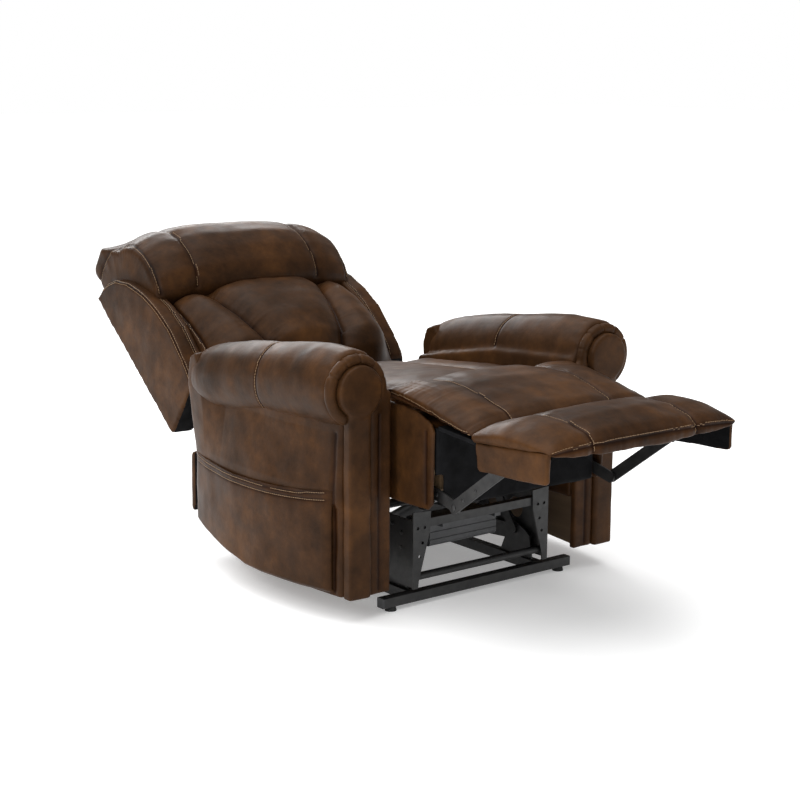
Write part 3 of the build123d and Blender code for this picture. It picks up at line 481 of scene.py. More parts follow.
def buildHeadrest():
    mesh = bmesh.new()
    prism(mesh, headrest["outline"], -headrest["halfWidth"], headrest["halfWidth"], backPlace)
    piece = newPiece("headrestCushion", mesh)
    soften(piece, headrest["cell"], headrest["rounding"])
    # the roll falls away towards its round ends
    places, _ = readPlaces(piece)
    axisUp = np.array((0, cos(backTilt), sin(backTilt)))
    axisOut = np.array((0, -sin(backTilt), cos(backTilt)))
    start = np.array(backPlace(0, 0, 0))
    up, out = (places - start) @ axisUp, (places - start) @ axisOut
    end = np.clip((np.abs(places[:, 0]) - 0.15) / 0.165, 0, 1) ** 2 * headrest["endDrop"]
    # the droop leaves room for the corners of the timber frame at the rear
    front = np.clip((out - 0.075) / 0.07, 0, 1)
    dropUp = np.clip(up - 0.40, 0, None) * end * front
    dropOut = np.clip(out - 0.10, 0, None) * end * 0.8
    writePlaces(piece, places - axisUp * dropUp[:, None] - axisOut * dropOut[:, None])
    seams = []
    for side in (-1, 1):
        x = side * headrest["seamX"]
        seams.append({"path": [backPlace(x, u, w) for u, w in (
            (0.575, -0.01), (0.607, 0.06), (0.585, 0.15), (0.53, 0.225), (0.46, 0.262), (0.38, 0.268),
            (0.298, 0.215))], "depth": 0.0035, "width": 0.006, "valley": 0.004, "valleyWidth": 0.018,
            "rows": (0.0042 * side,), "gather": (0.0010, 0.02, 0.012)})
        # edge of the round end
        e = side * 0.304
        seams.append({"path": [backPlace(e, u, w) for u, w in (
            (0.55, 0.0), (0.560, 0.06), (0.545, 0.135), (0.50, 0.188), (0.44, 0.212), (0.37, 0.216),
            (0.305, 0.195))], "depth": 0.003, "width": 0.006, "rows": (-0.004 * side,),
            "gather": (0.0016, 0.022, 0.011)})
    # drawn in along the fold above the lower back
    seams.append({"path": [backPlace(x, 0.300, 0.21) for x in (-0.29, -0.15, 0.0, 0.15, 0.29)],
                  "depth": 0.0, "gather": (0.0012, 0.03, 0.016), "fold": True})
    sew(piece, seams, headrest["puff"], 0.07, unevenness=0.002, seed=4)
    finishPiece(piece)
    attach(piece, "back")
    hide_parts("headrest")
    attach(stitch("headrestStitching", piece, seamRows(seams)), "back")


lowerBack = {
    "outline": ((-0.030, 0.062), (-0.030, 0.172), (-0.016, 0.214), (0.008, 0.248), (0.05, 0.270),
                (0.12, 0.268), (0.19, 0.254), (0.25, 0.236), (0.284, 0.214), (0.297, 0.185),
                (0.297, 0.062)),
    "halfWidth": 0.279,
    "edgeDrop": 0.060,  # the side panels roll down towards the wings
    "panelTop": 0.173,
    "panelLow": 0.112,
    "cell": 0.0055,
    "rounding": 16,
    "puff": 0.020,
}


def buildLowerBack():
    mesh = bmesh.new()
    prism(mesh, lowerBack["outline"], -lowerBack["halfWidth"], lowerBack["halfWidth"], backPlace)
    piece = newPiece("lowerBackCushion", mesh)
    soften(piece, lowerBack["cell"], lowerBack["rounding"])
    places, _ = readPlaces(piece)
    out = np.array((0, -sin(backTilt), cos(backTilt)))
    depth = (places - np.array(backPlace(0, 0, 0))) @ out
    fall = lowerBack["edgeDrop"] * (np.abs(places[:, 0]) / lowerBack["halfWidth"]) ** 5
    writePlaces(piece, places - out * (fall * np.clip((depth - 0.08) / 0.19, 0, 1))[:, None])
    seams = []
    for side in (-1, 1):
        path = [backPlace(side * x, u, w) for x, u, w in (
            (lowerBack["panelTop"] + 0.006, 0.292, 0.21), (lowerBack["panelTop"], 0.255, 0.25),
            (0.148, 0.14, 0.28), (lowerBack["panelLow"] + 0.004, 0.02, 0.29), (0.108, -0.03, 0.24))]
        seams.append({"path": path, "depth": 0.008, "width": 0.006, "valley": 0.021,
                      "valleyWidth": 0.022, "gather": (0.0050 if side < 0 else 0.0018, 0.026, 0.011)})
        edge = [backPlace(side * x, u, w) for x, u, w in (
            (0.272, 0.292, 0.17), (0.278, 0.22, 0.190), (0.279, 0.12, 0.205), (0.278, 0.02, 0.205))]
        seams.append({"path": edge, "depth": 0.004, "width": 0.006, "rows": (-0.004 * side,),
                      "gather": (0.0022, 0.035, 0.012)})
    seams.append({"path": [backPlace(x, 0.300, 0.19) for x in (-0.27, -0.14, 0.0, 0.14, 0.27)],
                  "depth": 0.0, "gather": (0.0018, 0.025, 0.014), "fold": True})
    sew(piece, seams, lowerBack["puff"], 0.055, unevenness=0.004, seed=9)
    finishPiece(piece)
    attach(piece, "back")
    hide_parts("back_cushion")
    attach(stitch("lowerBackStitching", piece, seamRows(seams)), "back")


wing = {
    "outline": ((-0.001, -0.010), (0.006, 0.150), (0.020, 0.170), (0.050, 0.181), (0.12, 0.194),
                (0.18, 0.200), (0.26, 0.193), (0.33, 0.175), (0.40, 0.143), (0.455, 0.102),
                (0.482, 0.062), (0.494, 0.03), (0.496, -0.010)),
    "inner": 0.284,
    "outer": 0.345,
    "cell": 0.005,
    "rounding": 5,
    "puff": 0.003,
}


def buildWing(name, side):
    mesh = bmesh.new()
    low, high = sorted((side * wing["inner"], side * wing["outer"]))
    prism(mesh, wing["outline"], low, high, backPlace)
    piece = newPiece("backWing" + name.capitalize(), mesh)
    soften(piece, wing["cell"], wing["rounding"])
    edge = wing["outline"][1:]
    seams = [
        {"path": [backPlace(side * wing["outer"], u, w - 0.004) for u, w in edge[1:-1]],
         "depth": 0.0022, "width": 0.005, "rows": (0.004, -0.004)},
        {"path": [backPlace(side * (wing["inner"] + 0.016), u, w + 0.004) for u, w in edge[1:8]],
         "depth": 0.003, "width": 0.005, "rows": (0.004, -0.004), "gather": (0.001, 0.02, 0.014)},
    ]
    sew(piece, seams, wing["puff"], 0.05, unevenness=0.0018, seed=12 + side)
    downBack = Vector((0, -cos(backTilt), -sin(backTilt)))
    finishPiece(piece, "upholstery", "lining",
                lambda face: (face.normal.dot(downBack) > 0.8
                              and abs(face.center.x) < wing["outer"] - 0.004))
    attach(piece, "back")
    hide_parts(f"back_wing_{name}")
    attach(stitch("wingStitching" + name.capitalize(), piece, seamRows(seams)), "back")


outsideBack = {
    "outline": ((-0.030, -0.008), (-0.030, -0.001), (0.486, -0.001), (0.486, -0.008)),
    "halfWidth": 0.283,
    "seamX": 0.272,
    "seam": (-0.02, 0.24, 0.47),
}


def buildOutsideBack():
    mesh = bmesh.new()
    prism(mesh, outsideBack["outline"], -outsideBack["halfWidth"], outsideBack["halfWidth"], backPlace)
    piece = newPiece("outsideBack", mesh)
    soften(piece, 0.005, 2, 0)
    seams = [{"path": [backPlace(side * outsideBack["seamX"], u, -0.009) for u in outsideBack["seam"]],
              "depth": 0.001, "rows": (0.004,)} for side in (-1, 1)]
    sew(piece, seams, 0.0, unevenness=0.001, seed=21)
    finishPiece(piece)
    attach(piece, "back")
    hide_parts("back_cover")
    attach(stitch("outsideBackStitching", piece, seamRows(seams)), "back")


buildHeadrest()
buildLowerBack()
for sideName, sideSign in sides:
    buildWing(sideName, sideSign)
buildOutsideBack()
print("back upholstered")


# arms
arm = {
    "rollX": 0.374,
    "rollWide": 0.077,
    # y, centre z, half height of the roll's padding
    "roll": ((0.001, 0.530, 0.085), (0.05, 0.530, 0.087), (0.10, 0.531, 0.088), (0.20, 0.522, 0.087),
             (0.30, 0.512, 0.086), (0.42, 0.497, 0.084), (0.51, 0.484, 0.080), (0.560, 0.478, 0.073),
             (0.592, 0.476, 0.064), (0.612, 0.476, 0.050)),
    # face towards the sitter, and the x between which it is solid
    "insideFace": ((0.004, 0.185), (0.004, 0.53), (0.30, 0.512), (0.606, 0.455), (0.606, 0.185)),
    "insideX": (0.2875, 0.330),
    "crossSeam": 0.292,
    "cell": 0.006,
    "rounding": 10,
    "puff": 0.003,
}


def buildArmRoll(name, side):
    mesh = bmesh.new()
    tube(mesh, [(chairPlace(side * arm["rollX"], y, z), arm["rollWide"] * (high / 0.086) ** 1.1, high)
                for y, z, high in arm["roll"]])
    low, high = sorted(side * x for x in arm["insideX"])
    prism(mesh, arm["insideFace"], low, high, chairPlace)
    piece = newPiece("armRoll" + name.capitalize(), mesh)
    soften(piece, arm["cell"], arm["rounding"])
    y = arm["crossSeam"]
    cross = [chairPlace(side * (arm["rollX"] + 0.086 * cos(a)), y - 0.012 * cos(a), 0.512 + 0.094 * sin(a))
             for a in (-0.95, -0.5, 0.0, 0.5, 1.0, 1.57, 2.1, 2.6, 3.0)]
    seams = [{"path": cross, "depth": 0.0025, "width": 0.005, "rows": (0.004 * side,),
              "gather": (0.0008, 0.03, 0.02)}]

    def swell(places, normals):
        # ripples where the leather is drawn in to the round front
        near = np.exp(-np.abs(places[:, 1] - frontY) / 0.022)
        turn = np.arctan2(places[:, 2] - 0.53, side * (places[:, 0] - side * arm["rollX"]))
        return 0.0012 * near * np.sin(turn * 17) * np.clip(normals[:, 2] + 0.2, 0, 1)

    sew(piece, seams, arm["puff"], 0.06, swell, unevenness=0.0022, seed=31 + side)
    finishPiece(piece)
    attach(piece, "chair")
    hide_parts(f"arm_roll_{name}")
    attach(stitch("armRollStitching" + name.capitalize(), piece, seamRows(seams)), "chair")


armSide = {
    "flat": 0.403,   # outer face at the front and rear edges
    "bow": 0.044,    # how far it bellies out at the middle
    "rearFull": 0.022,  # fullness where the roll runs into the side
    "bottom": ((0.0, 0.058), (0.33, 0.058), (0.625, 0.104)),
}


def sideBow(y, z, pocketed):
    ease = max(0.0, 1 - ((y - 0.29) / 0.335) ** 2)
    drop = min(1.0, max(0.45, 1 - (z - 0.30) / 0.24))
    hollow = 0.018 * min(1.0, max(0.0, (0.272 - z) / 0.012)) if pocketed else 0.0
    rear = min(1.0, max(0.0, (y - 0.46) / 0.09)) * min(1.0, max(0.0, (z - 0.27) / 0.18)) * armSide["rearFull"]
    return max(0.0, armSide["bow"] * drop - hollow) * ease + rear


def buildArmSide(name, side):
    mesh = bmesh.new()
    bottom = list(armSide["bottom"])
    outline = bottom + [(0.627, 0.480), (0.612, 0.525), (0.580, 0.540), (0.545, 0.500), (0.49, 0.430),
                        (0.30, 0.47), (0.0, 0.500)]
    low, high = sorted((side * 0.318, side * armSide["flat"]))
    prism(mesh, outline, low, high, chairPlace)
    piece = newPiece("armSide" + name.capitalize(), mesh)
    soften(piece, 0.006, 6)
    places, _ = readPlaces(piece)
    for k, (x, y, z) in enumerate(places):
        share = max(0.0, (abs(x) - 0.33) / 0.073)
        places[k][0] = side * (abs(x) + sideBow(y - frontY, z, side < 0) * share)
    writePlaces(piece, places)
    seams = [{"path": [chairPlace(side * 0.41, 0.024, z) for z in (0.43, 0.30, 0.18, 0.07)],
              "depth": 0.004, "width": 0.006}]
    sew(piece, seams, 0.0, 0.04, unevenness=0.002, seed=41 + side)
    finishPiece(piece)
    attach(piece, "chair")
    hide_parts(f"arm_side_{name}")


armFront = {"discX": 0.3765, "discZ": 0.530, "discR": 0.0565, "ringR": 0.0685, "ringThick": 0.0125}


def buildArmFront(name, side):
    # round head with a straight post under it, inside a pleated surround
    mesh = bmesh.new()
    made = bmesh.ops.create_cone(mesh, cap_ends=True, segments=64, radius1=armFront["discR"],
                                 radius2=armFront["discR"], depth=0.030)
    centre = chairPlace(side * armFront["discX"], -0.015, armFront["discZ"])
    facing = Matrix.Rotation(pi / 2, 4, "X")
    bmesh.ops.transform(mesh, verts=made["verts"], matrix=Matrix.Translation(centre) @ facing)
    low, high = sorted((side * 0.347, side * 0.405))
    box(mesh, chairPlace(low, -0.026, 0.058), chairPlace(high, 0.0, 0.50))
    panel = newPiece("armPost" + name.capitalize(), mesh)
    soften(panel, 0.0045, 6)
    sew(panel, [], 0.002, unevenness=0.0012, seed=51 + side)
    finishPiece(panel)

    mesh = bmesh.new()
    start, sweep = radians(-66 if side > 0 else 246), radians(300 * side)
    rings = bmesh.ops.create_circle(mesh, cap_ends=True, segments=20, radius=armFront["ringThick"])
    verts = rings["verts"]
    section = Matrix.Translation((armFront["ringR"], 0, 0)) @ facing
    bmesh.ops.transform(mesh, verts=verts, matrix=Matrix.Rotation(start, 4, "Z") @ section)
    bmesh.ops.spin(mesh, geom=mesh.verts[:] + mesh.edges[:] + mesh.faces[:], cent=(0, 0, 0), axis=(0, 0, 1),
                   angle=sweep, steps=60)
    bmesh.ops.remove_doubles(mesh, verts=mesh.verts[:], dist=1e-6)
    centre = chairPlace(side * armFront["discX"], -0.006, armFront["discZ"])
    bmesh.ops.transform(mesh, verts=mesh.verts[:], matrix=Matrix.Translation(centre) @ facing)
    bmesh.ops.recalc_face_normals(mesh, faces=mesh.faces[:])
    for inner, outer, depth in ((0.2875, 0.3195, 0.017), (0.3195, 0.3455, 0.020)):
        low, high = sorted((side * inner, side * outer))
        top = 0.52 if inner < 0.3 else 0.49
        box(mesh, chairPlace(low, -depth, 0.058), chairPlace(high, 0.0, top))
    surround = newPiece("armSurround" + name.capitalize(), mesh)
    soften(surround, 0.0045, 5)
    seams = [{"path": [chairPlace(side * 0.3195, -0.022, z) for z in (0.47, 0.36, 0.22, 0.07)],
              "depth": 0.003, "width": 0.004}]

    def pleats(places, normals):
        across = side * (places[:, 0] - side * armFront["discX"])
        up = places[:, 2] - armFront["discZ"]
        turn = np.arctan2(up, across)
        ring = np.clip((np.hypot(across, up) - 0.052) / 0.01, 0, 1)
        wave = np.maximum(0, np.cos(turn * 11 + 0.4)) ** 10
        return -0.0028 * wave * ring * np.clip((up - 0.01) / 0.03, 0, 1)

    sew(surround, seams, 0.0015, 0.03, pleats, unevenness=0.001, seed=61 + side)
    finishPiece(surround)
    for piece in (panel, surround):
        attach(piece, "chair")
    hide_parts(f"arm_front_{name}")


pocket = {"front": 0.026, "rear": 0.622, "bow": 0.053, "thickness": 0.003}


def pocketTop(y):
    return float(np.interp(y, (0.0, 0.10, 0.20, 0.385, 0.645), (0.306, 0.293, 0.284, 0.277, 0.283)))


def buildPocket():
    # leather panel standing off the right arm's side, open at the top, tucked under at the bottom
    mesh = bmesh.new()
    bmesh.ops.create_grid(mesh, x_segments=110, y_segments=52, size=1.0)
    bmesh.ops.rotate(mesh, verts=mesh.verts[:], cent=(0, 0, 0), matrix=Matrix.Rotation(pi / 2, 3, "Y"))
    for vert in mesh.verts:
        across, up = (vert.co.y + 1) / 2, (vert.co.z + 1) / 2
        y = pocket["front"] + across * (pocket["rear"] - pocket["front"])
        bottom = 0.060 + max(0.0, y - 0.33) / 0.295 * 0.046
        top = pocketTop(y)
        z = bottom + up * (top - bottom)
        ease = max(0.0, 1 - ((y - 0.29) / 0.335) ** 2)
        tuck = max(0.0, 1 - up / 0.07) ** 2
        close = min(1.0, max(0.0, (z - 0.235) / 0.05)) ** 2
        ends = max(0.0, 1 - across / 0.03, 1 - (1 - across) / 0.03) ** 2
        x = armSide["flat"] + 0.003 + (pocket["bow"] - 0.0075 * close) * ease - 0.022 * tuck - 0.007 * ends
        vert.co = chairPlace(-x, y, z)
    bmesh.ops.recalc_face_normals(mesh, faces=mesh.faces[:])
    piece = newPiece("sidePocket", mesh)
    if sum(face.normal.x for face in piece.data.polygons) > 0:
        piece.data.flip_normals()
    hemPlaces = [pocket["front"] + a * (pocket["rear"] - pocket["front"])
                 for a in (0.01, 0.12, 0.3, 0.5, 0.7, 0.88, 0.99)]
    hem = [chairPlace(-0.46, y, pocketTop(y) - 0.005) for y in hemPlaces]
    lower = [p - Vector((0, 0, 0.013)) for p in hem]
    seams = [{"path": hem, "depth": 0.0004, "width": 0.003, "rows": (0.0,), "gather": (0.0008, 0.03, 0.02)},
             {"path": lower, "depth": 0.0011, "width": 0.004, "rows": (0.0,), "gather": (0.0014, 0.06, 0.02)}]
    sew(piece, seams, 0.0, unevenness=0.0022, seed=71)
    wall = piece.modifiers.new("wall", "SOLIDIFY")
    wall.thickness = pocket["thickness"]
    wall.offset = -1.0
    settle(piece)
    finishPiece(piece)
    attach(piece, "chair")
    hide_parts("side_pocket")
    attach(stitch("pocketStitching", piece, seamRows(seams)), "chair")


for sideName, sideSign in sides:
    buildArmRoll(sideName, sideSign)
    buildArmSide(sideName, sideSign)
    buildArmFront(sideName, sideSign)
buildPocket()
print("arms upholstered")


# leg rest and seat
legPad = {
    "outline": ((0.020, 0.470), (0.022, 0.515), (0.006, 0.530), (-0.050, 0.536), (-0.114, 0.535),
                (-0.190, 0.520), (-0.255, 0.500), (-0.276, 0.484), (-0.284, 0.462), (-0.262, 0.455),
                (-0.15, 0.464)),
    "halfWidth": 0.277,
    "seamX": 0.155,
    "edge": ((-0.30, 0.457), (-0.273, 0.462), (-0.145, 0.494), (-0.005, 0.522), (0.03, 0.515)),
    "cell": 0.0055,
    "rounding": 12,
    "puff": 0.008,
}


def thinEdges(piece, halfWidth, edge, power, share, read, write):
    # the padding thins towards both side edges
    places, _ = readPlaces(piece)
    marks = np.array(sorted(edge))
    for k, place in enumerate(places):
        along, rise = read(place)
        t = min(1.0, abs(place[0]) / halfWidth) ** power * share
        target = np.interp(along, marks[:, 0], marks[:, 1])
        places[k] = write(place, along, rise + (target - rise) * t)
    writePlaces(piece, places)


def buildLegPad():
    mesh = bmesh.new()
    prism(mesh, legPad["outline"], -legPad["halfWidth"], legPad["halfWidth"], chairPlace)
    piece = newPiece("legPad", mesh)
    soften(piece, legPad["cell"], legPad["rounding"])
    thinEdges(piece, legPad["halfWidth"], legPad["edge"], 5, 0.72,
              lambda p: (p[1] - frontY, p[2]), lambda p, along, rise: (p[0], p[1], rise))
    seams = []
    for side in (-1, 1):
        x = side * legPad["seamX"]
        seams.append({"path": [chairPlace(x, y, z) for y, z in (
            (0.015, 0.54), (-0.05, 0.55), (-0.114, 0.55), (-0.19, 0.535), (-0.26, 0.51), (-0.284, 0.475))],
            "depth": 0.003, "width": 0.006, "valley": 0.003, "valleyWidth": 0.016, "rows": (0.004 * side,),
            "gather": (0.0012, 0.02, 0.013)})
        seams.append({"path": [chairPlace(side * 0.283, y, z) for y, z in (
            (0.0, 0.512), (-0.07, 0.503), (-0.145, 0.487), (-0.22, 0.468), (-0.275, 0.458))],
            "depth": 0.002, "width": 0.005, "rows": (0.004 * side,), "gather": (0.0028, 0.05, 0.012)})
    seams.append({"path": [chairPlace(x, 0.0, 0.54) for x in (-0.27, -0.22, -0.17)], "fold": True,
                  "fades": True, "depth": 0.002, "width": 0.005, "gather": (0.006, 0.05, 0.010)})
    sew(piece, seams, legPad["puff"], 0.06, unevenness=0.004, seed=81)
    finishPiece(piece)
    stitches = stitch("legPadStitching", piece, seamRows(seams))
    for part in (piece, stitches):
        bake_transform(part)
    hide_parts("leg_pad_rear", "leg_pad_front")


footPad = {
    "outline": ((0.003, 0.010), (0.002, 0.032), (0.022, 0.052), (0.090, 0.068), (0.165, 0.062),
                (0.222, 0.042), (0.243, 0.020), (0.240, -0.006), (0.231, -0.006), (0.231, 0.010)),
    "halfWidth": 0.279,
    "seamX": 0.155,
    "edge": ((0.0, 0.020), (0.10, 0.024), (0.20, 0.016), (0.25, 0.008)),
    "cell": 0.0055,
    "rounding": 9,
    "puff": 0.007,
}


def footRead(place):
    forward = -(place[1] - frontY + 0.288) * cos(footTilt) + (place[2] - 0.440) * sin(footTilt)
    rise = (place[1] - frontY + 0.288) * sin(footTilt) + (place[2] - 0.440) * cos(footTilt)
    return forward, rise


def buildFootPad():
    mesh = bmesh.new()
    prism(mesh, footPad["outline"], -footPad["halfWidth"], footPad["halfWidth"], footPlace)
    piece = newPiece("footPad", mesh)
    soften(piece, footPad["cell"], footPad["rounding"])
    thinEdges(piece, footPad["halfWidth"], footPad["edge"], 6, 0.8, footRead,
              lambda p, along, rise: tuple(footPlace(p[0], along, rise)))
    seams = []
    for side in (-1, 1):
        x = side * footPad["seamX"]
        seams.append({"path": [footPlace(x, f, h) for f, h in (
            (0.012, 0.045), (0.05, 0.07), (0.10, 0.078), (0.165, 0.072), (0.225, 0.048), (0.250, 0.018),
            (0.246, 0.0))], "depth": 0.003, "width": 0.006, "valley": 0.003, "valleyWidth": 0.016,
            "rows": (0.004 * side,), "gather": (0.0012, 0.02, 0.013)})
    seams.append({"path": [footPlace(x, f, h) for x, f, h in (
        (-0.27, 0.236, 0.010), (-0.15, 0.248, 0.016), (0.0, 0.25, 0.018), (0.15, 0.248, 0.016),
        (0.27, 0.236, 0.010))], "depth": 0.004, "width": 0.005, "rows": (-0.005,),
        "gather": (0.0022, 0.03, 0.012)})
    sew(piece, seams, footPad["puff"], 0.055, unevenness=0.0035, seed=91)
    finishPiece(piece)
    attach(piece, "footrest")
    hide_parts("foot_pad")
    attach(stitch("footPadStitching", piece, seamRows(seams)), "footrest")


footFlap = {
    "outline": ((0.006, 0.012), (0.010, -0.046), (0.016, -0.050), (0.220, -0.054), (0.227, -0.048),
                (0.231, 0.012)),
    "x": (0.267, 0.278),
}


def buildFootFlap(name, side):
    mesh = bmesh.new()
    low, high = sorted(side * x for x in footFlap["x"])
    prism(mesh, footFlap["outline"], low, high, footPlace)
    piece = newPiece("footFlap" + name.capitalize(), mesh)
    soften(piece, 0.004, 3, 0)
    sew(piece, [], 0.0005, unevenness=0.0025, seed=95 + side)
    finishPiece(piece, "upholstery", "lining", lambda face: face.normal.x * side < -0.7)
    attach(piece, "footrest")
    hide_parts(f"foot_flap_{name}")


seatSide = {
    "outline": ((-0.134, 0.280), (-0.118, 0.264), (0.395, 0.264), (0.395, 0.455), (0.02, 0.490),
                (-0.07, 0.482), (-0.125, 0.462), (-0.134, 0.445)),
    "x": (0.2515, 0.2605),
    "stuffing": 0.0052,
}


def buildSeatSide(name, side):
    mesh = bmesh.new()
    low, high = sorted(side * x for x in seatSide["x"])
    prism(mesh, seatSide["outline"], low, high, chairPlace)
    piece = newPiece("seatSide" + name.capitalize(), mesh)
    soften(piece, 0.005, 5)

    def swell(places, normals):
        # stuffed edge in front of the arms
        forward = np.exp(-((places[:, 1] - frontY + 0.072) / 0.045) ** 2)
        height = np.clip(1 - ((places[:, 2] - 0.36) / 0.11) ** 2, 0, 1)
        return seatSide["stuffing"] * forward * height * np.clip(normals[:, 0] * side, 0, 1)

    seams = [{"path": [chairPlace(side * 0.268, -0.112, z) for z in (0.44, 0.36, 0.28)], "depth": 0.002,
              "width": 0.005, "gather": (0.0015, 0.03, 0.014)}]
    sew(piece, seams, 0.001, 0.03, swell, unevenness=0.002, seed=101 + side)
    finishPiece(piece)
    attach(piece, "seat")
    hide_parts(f"seat_side_{name}")


seatFront = {
    "front": -0.138,
    "rear": -0.126,
    # half width, bottom and top of the two parts
    "parts": ((0.2505, 0.345, 0.454), (0.228, 0.268, 0.36)),
}


def buildSeatFront():
    mesh = bmesh.new()
    front, rear = seatFront["front"], seatFront["rear"]
    for half, low, high in seatFront["parts"]:
        prism(mesh, ((front, low), (front, high), (rear, high), (rear, low)), -half, half, chairPlace)
    piece = newPiece("seatFrontLining", mesh)
    soften(piece, 0.005, 2, 0)
    sew(piece, [], 0.0, unevenness=0.003, seed=111)
    finishPiece(piece, "lining")
    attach(piece, "seat")
    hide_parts("seat_front")


seatCushion = {
    "outline": ((-0.116, 0.358), (-0.116, 0.454), (0.026, 0.454), (0.034, 0.490), (0.16, 0.492),
                (0.50, 0.466), (0.592, 0.432), (0.597, 0.358)),
    "halfWidth": 0.250,
    "seamX": 0.155,
    "seam": ((0.04, 0.50), (0.2, 0.50), (0.4, 0.485), (0.56, 0.45)),
    "crown": 0.008,
}


def buildSeatCushion():
    mesh = bmesh.new()
    prism(mesh, seatCushion["outline"], -seatCushion["halfWidth"], seatCushion["halfWidth"], chairPlace)
    piece = newPiece("seatCushion", mesh)
    soften(piece, 0.007, 9)
    seams = [{"path": [chairPlace(side * seatCushion["seamX"], y, z) for y, z in seatCushion["seam"]],
              "depth": 0.003, "width": 0.007, "valley": 0.004, "valleyWidth": 0.02, "rows": (0.004 * side,),
              "gather": (0.0015, 0.02, 0.014)} for side in (-1, 1)]

    def crown(places, normals):
        across = np.clip(1 - (places[:, 0] / seatCushion["halfWidth"]) ** 2, 0, 1)
        return seatCushion["crown"] * across * np.clip(normals[:, 2], 0, 1) * (places[:, 1] - frontY > 0.02)

    sew(piece, seams, 0.003, 0.06, crown, unevenness=0.003, seed=121)
    finishPiece(piece)
    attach(piece, "seat")
    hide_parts("seat_cushion")
    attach(stitch("seatStitching", piece, seamRows(seams)), "seat")


rearPanel = {
    "outline": ((0.736, 0.110), (0.740, 0.092), (0.750, 0.092), (0.753, 0.110), (0.753, 0.236),
                (0.748, 0.249), (0.736, 0.249)),
    "halfWidth": 0.341,
}


def buildRearPanel():
    mesh = bmesh.new()
    prism(mesh, rearPanel["outline"], -rearPanel["halfWidth"], rearPanel["halfWidth"], chairPlace)
    piece = newPiece("rearPanel", mesh)
    soften(piece, 0.005, 3, 0)
    sew(piece, [], 0.0005, unevenness=0.002, seed=131)
    finishPiece(piece, "upholstery", "lining", lambda face: face.normal.y < -0.8)
    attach(piece, "chair")
    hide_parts("rear_panel")


buildLegPad()
buildFootPad()
for sideName, sideSign in sides:
    buildFootFlap(sideName, sideSign)
    buildSeatSide(sideName, sideSign)
buildSeatFront()
buildSeatCushion()
buildRearPanel()
print("seat and leg rest upholstered")


# rivet heads
rivet = {
    "flatness": 0.38,     # height of a head as a share of its radius
    "small": 0.0048,
    "plate": 0.0050,
    "knee": 0.0080,
    "chairFace": 0.2103,  # outer faces that the heads stand on
    "seatFace": 0.2313,
    "lowerFace": 0.2373,
    "upperFace": 0.2443,
}


def boltHeads(name, body, spots):
    # domed heads on the outer faces of plates and links, the same on both sides
    mesh = bmesh.new()
    for x, y, z, radius in spots:
        for side in (-1, 1):
            made = bmesh.ops.create_uvsphere(mesh, u_segments=20, v_segments=10, radius=radius)
            flat = Matrix.Diagonal((rivet["flatness"], 1.0, 1.0, 1.0))
            bmesh.ops.transform(mesh, verts=made["verts"],
                                matrix=Matrix.Translation(chairPlace(side * x, y, z)) @ flat)
    heads = newPiece(name, mesh)
    finishPiece(heads, "mechanism")
    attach(heads, body)


boltHeads("plateRivets", "chair", [(rivet["chairFace"], y, z, rivet["plate"]) for y, z in (
    (0.040, 0.170), (0.040, 0.135), (0.075, 0.185), (0.110, 0.185), (0.330, 0.185), (0.480, 0.185))])
boltHeads("legPivotHeads", "seat", [(rivet["seatFace"], y, z, rivet["small"]) for y, z in (
    (0.060, 0.335), (0.140, 0.330), (0.260, 0.330))])
boltHeads("upperLinkHeads", "upper_links", [
    (rivet["upperFace"], -0.2187, 0.3051, rivet["small"]),
    (rivet["upperFace"], -0.2592, 0.3345, rivet["small"])])
# the knee's pin belongs to the lower links
boltHeads("lowerLinkHeads", "lower_links", [
    (rivet["upperFace"], -0.1864, 0.2816, rivet["knee"]),
    (rivet["lowerFace"], -0.120, 0.297, rivet["small"]),
    (rivet["lowerFace"], -0.060, 0.310, rivet["small"])])
print("metalwork ready")


# floor, light and camera
studio = {
    "floor": 30.0,
    "skyLight": 0.42,
    "skySeen": 1.0,
    "sunPower": 2.9,
    "sunSpread": 80.0,
    "floorGlow": 0.28,
    # name, place, size and power of the soft lamps
    "lamps": (("keyLight", (-3.2, -1.4, 2.2), (1.2, 1.2), 34.0),
              ("backLight", (0.9, 3.2, 2.0), (2.6, 0.8), 60.0)),
}
view = {
    "place": (-2.5719, -3.3394, 1.2480),
    "turn": -38.06,
    "dip": 11.41,
    "roll": 0.36,
    "lens": 77.18,
    "rise": 0.003,
}
white = (1.0, 1.0, 1.0, 1.0)


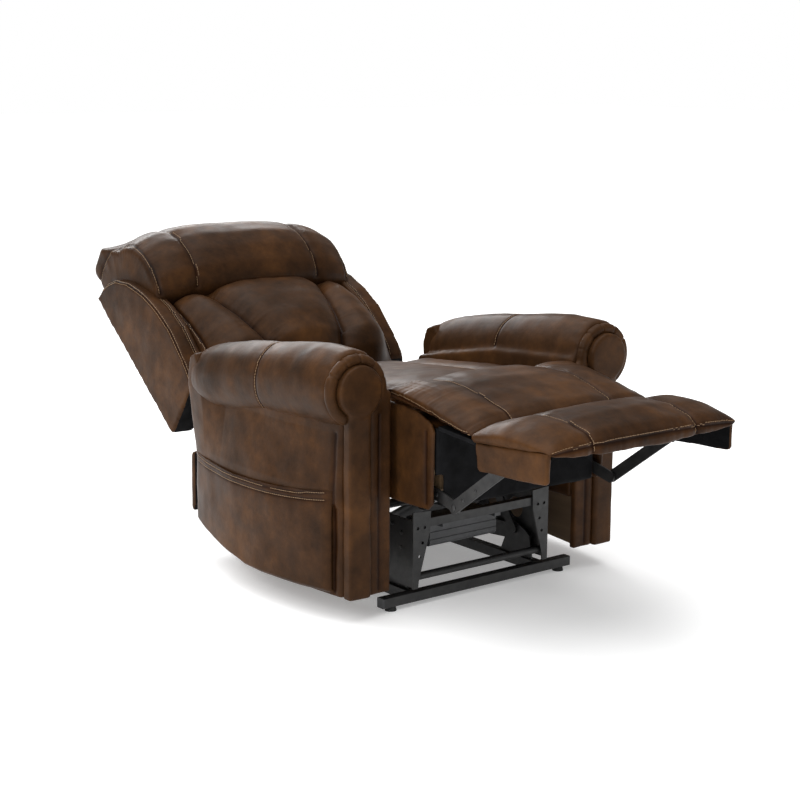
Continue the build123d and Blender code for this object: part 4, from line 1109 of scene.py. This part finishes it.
def buildStudio():
    mesh = bmesh.new()
    bmesh.ops.create_grid(mesh, x_segments=1, y_segments=1, size=studio["floor"])
    floor = newPiece("studioFloor", mesh)
    pale = plainFinish("paleFloor", ((0.86, 0.86, 0.86), (0.90, 0.90, 0.90)), (0.8, 0.9), 2.0)
    glow = pale.node_tree.nodes["Principled BSDF"].inputs
    glow["Emission Color"].default_value = white
    glow["Emission Strength"].default_value = studio["floorGlow"]
    floor.data.materials.append(pale)
    world = bpy.data.worlds.new("studioWorld")
    world.use_nodes = True
    tree = world.node_tree
    lit = tree.nodes["Background"]
    lit.inputs["Strength"].default_value = studio["skyLight"]
    lit.inputs["Color"].default_value = white
    seen = add(tree, "ShaderNodeBackground", Strength=studio["skySeen"])
    seen.inputs["Color"].default_value = white
    both = add(tree, "ShaderNodeMixShader")
    tree.links.new(add(tree, "ShaderNodeLightPath").outputs["Is Camera Ray"], both.inputs[0])
    tree.links.new(lit.outputs[0], both.inputs[1])
    tree.links.new(seen.outputs[0], both.inputs[2])
    tree.links.new(both.outputs[0], tree.nodes["World Output"].inputs["Surface"])
    bpy.context.scene.world = world
    sun = bpy.data.lights.new("overheadSoftbox", "SUN")
    sun.energy = studio["sunPower"]
    sun.angle = radians(studio["sunSpread"])
    overhead = bpy.data.objects.new("overheadSoftbox", sun)
    overhead.rotation_euler = (radians(-12), radians(-14), 0)
    bpy.context.collection.objects.link(overhead)
    for name, place, size, power in studio["lamps"]:
        data = bpy.data.lights.new(name, "AREA")
        data.shape = "RECTANGLE"
        data.size, data.size_y = size
        data.energy = power
        light = bpy.data.objects.new(name, data)
        light.location = place
        light.rotation_euler = (Vector((0, 0, 0.4)) - Vector(place)).to_track_quat("-Z", "Y").to_euler()
        bpy.context.collection.objects.link(light)


def buildCamera():
    turn, dip, roll = radians(view["turn"]), radians(view["dip"]), radians(view["roll"])
    ahead = Vector((-sin(turn) * cos(dip), cos(turn) * cos(dip), -sin(dip)))
    right = Vector((cos(turn), sin(turn), 0))
    above = right.cross(ahead)
    rightRolled = right * cos(roll) + above * sin(roll)
    aboveRolled = above * cos(roll) - right * sin(roll)
    data = bpy.data.cameras.new("studioCamera")
    data.sensor_width = 36.0
    data.lens = view["lens"]
    data.shift_y = view["rise"]
    camera = bpy.data.objects.new("studioCamera", data)
    frameAxes = Matrix((rightRolled, aboveRolled, -ahead)).transposed().to_4x4()
    camera.matrix_world = Matrix.Translation(view["place"]) @ frameAxes
    bpy.context.collection.objects.link(camera)
    bpy.context.scene.camera = camera


buildStudio()
buildCamera()
bpy.context.scene.view_settings.view_transform = "Standard"
print("studio ready")
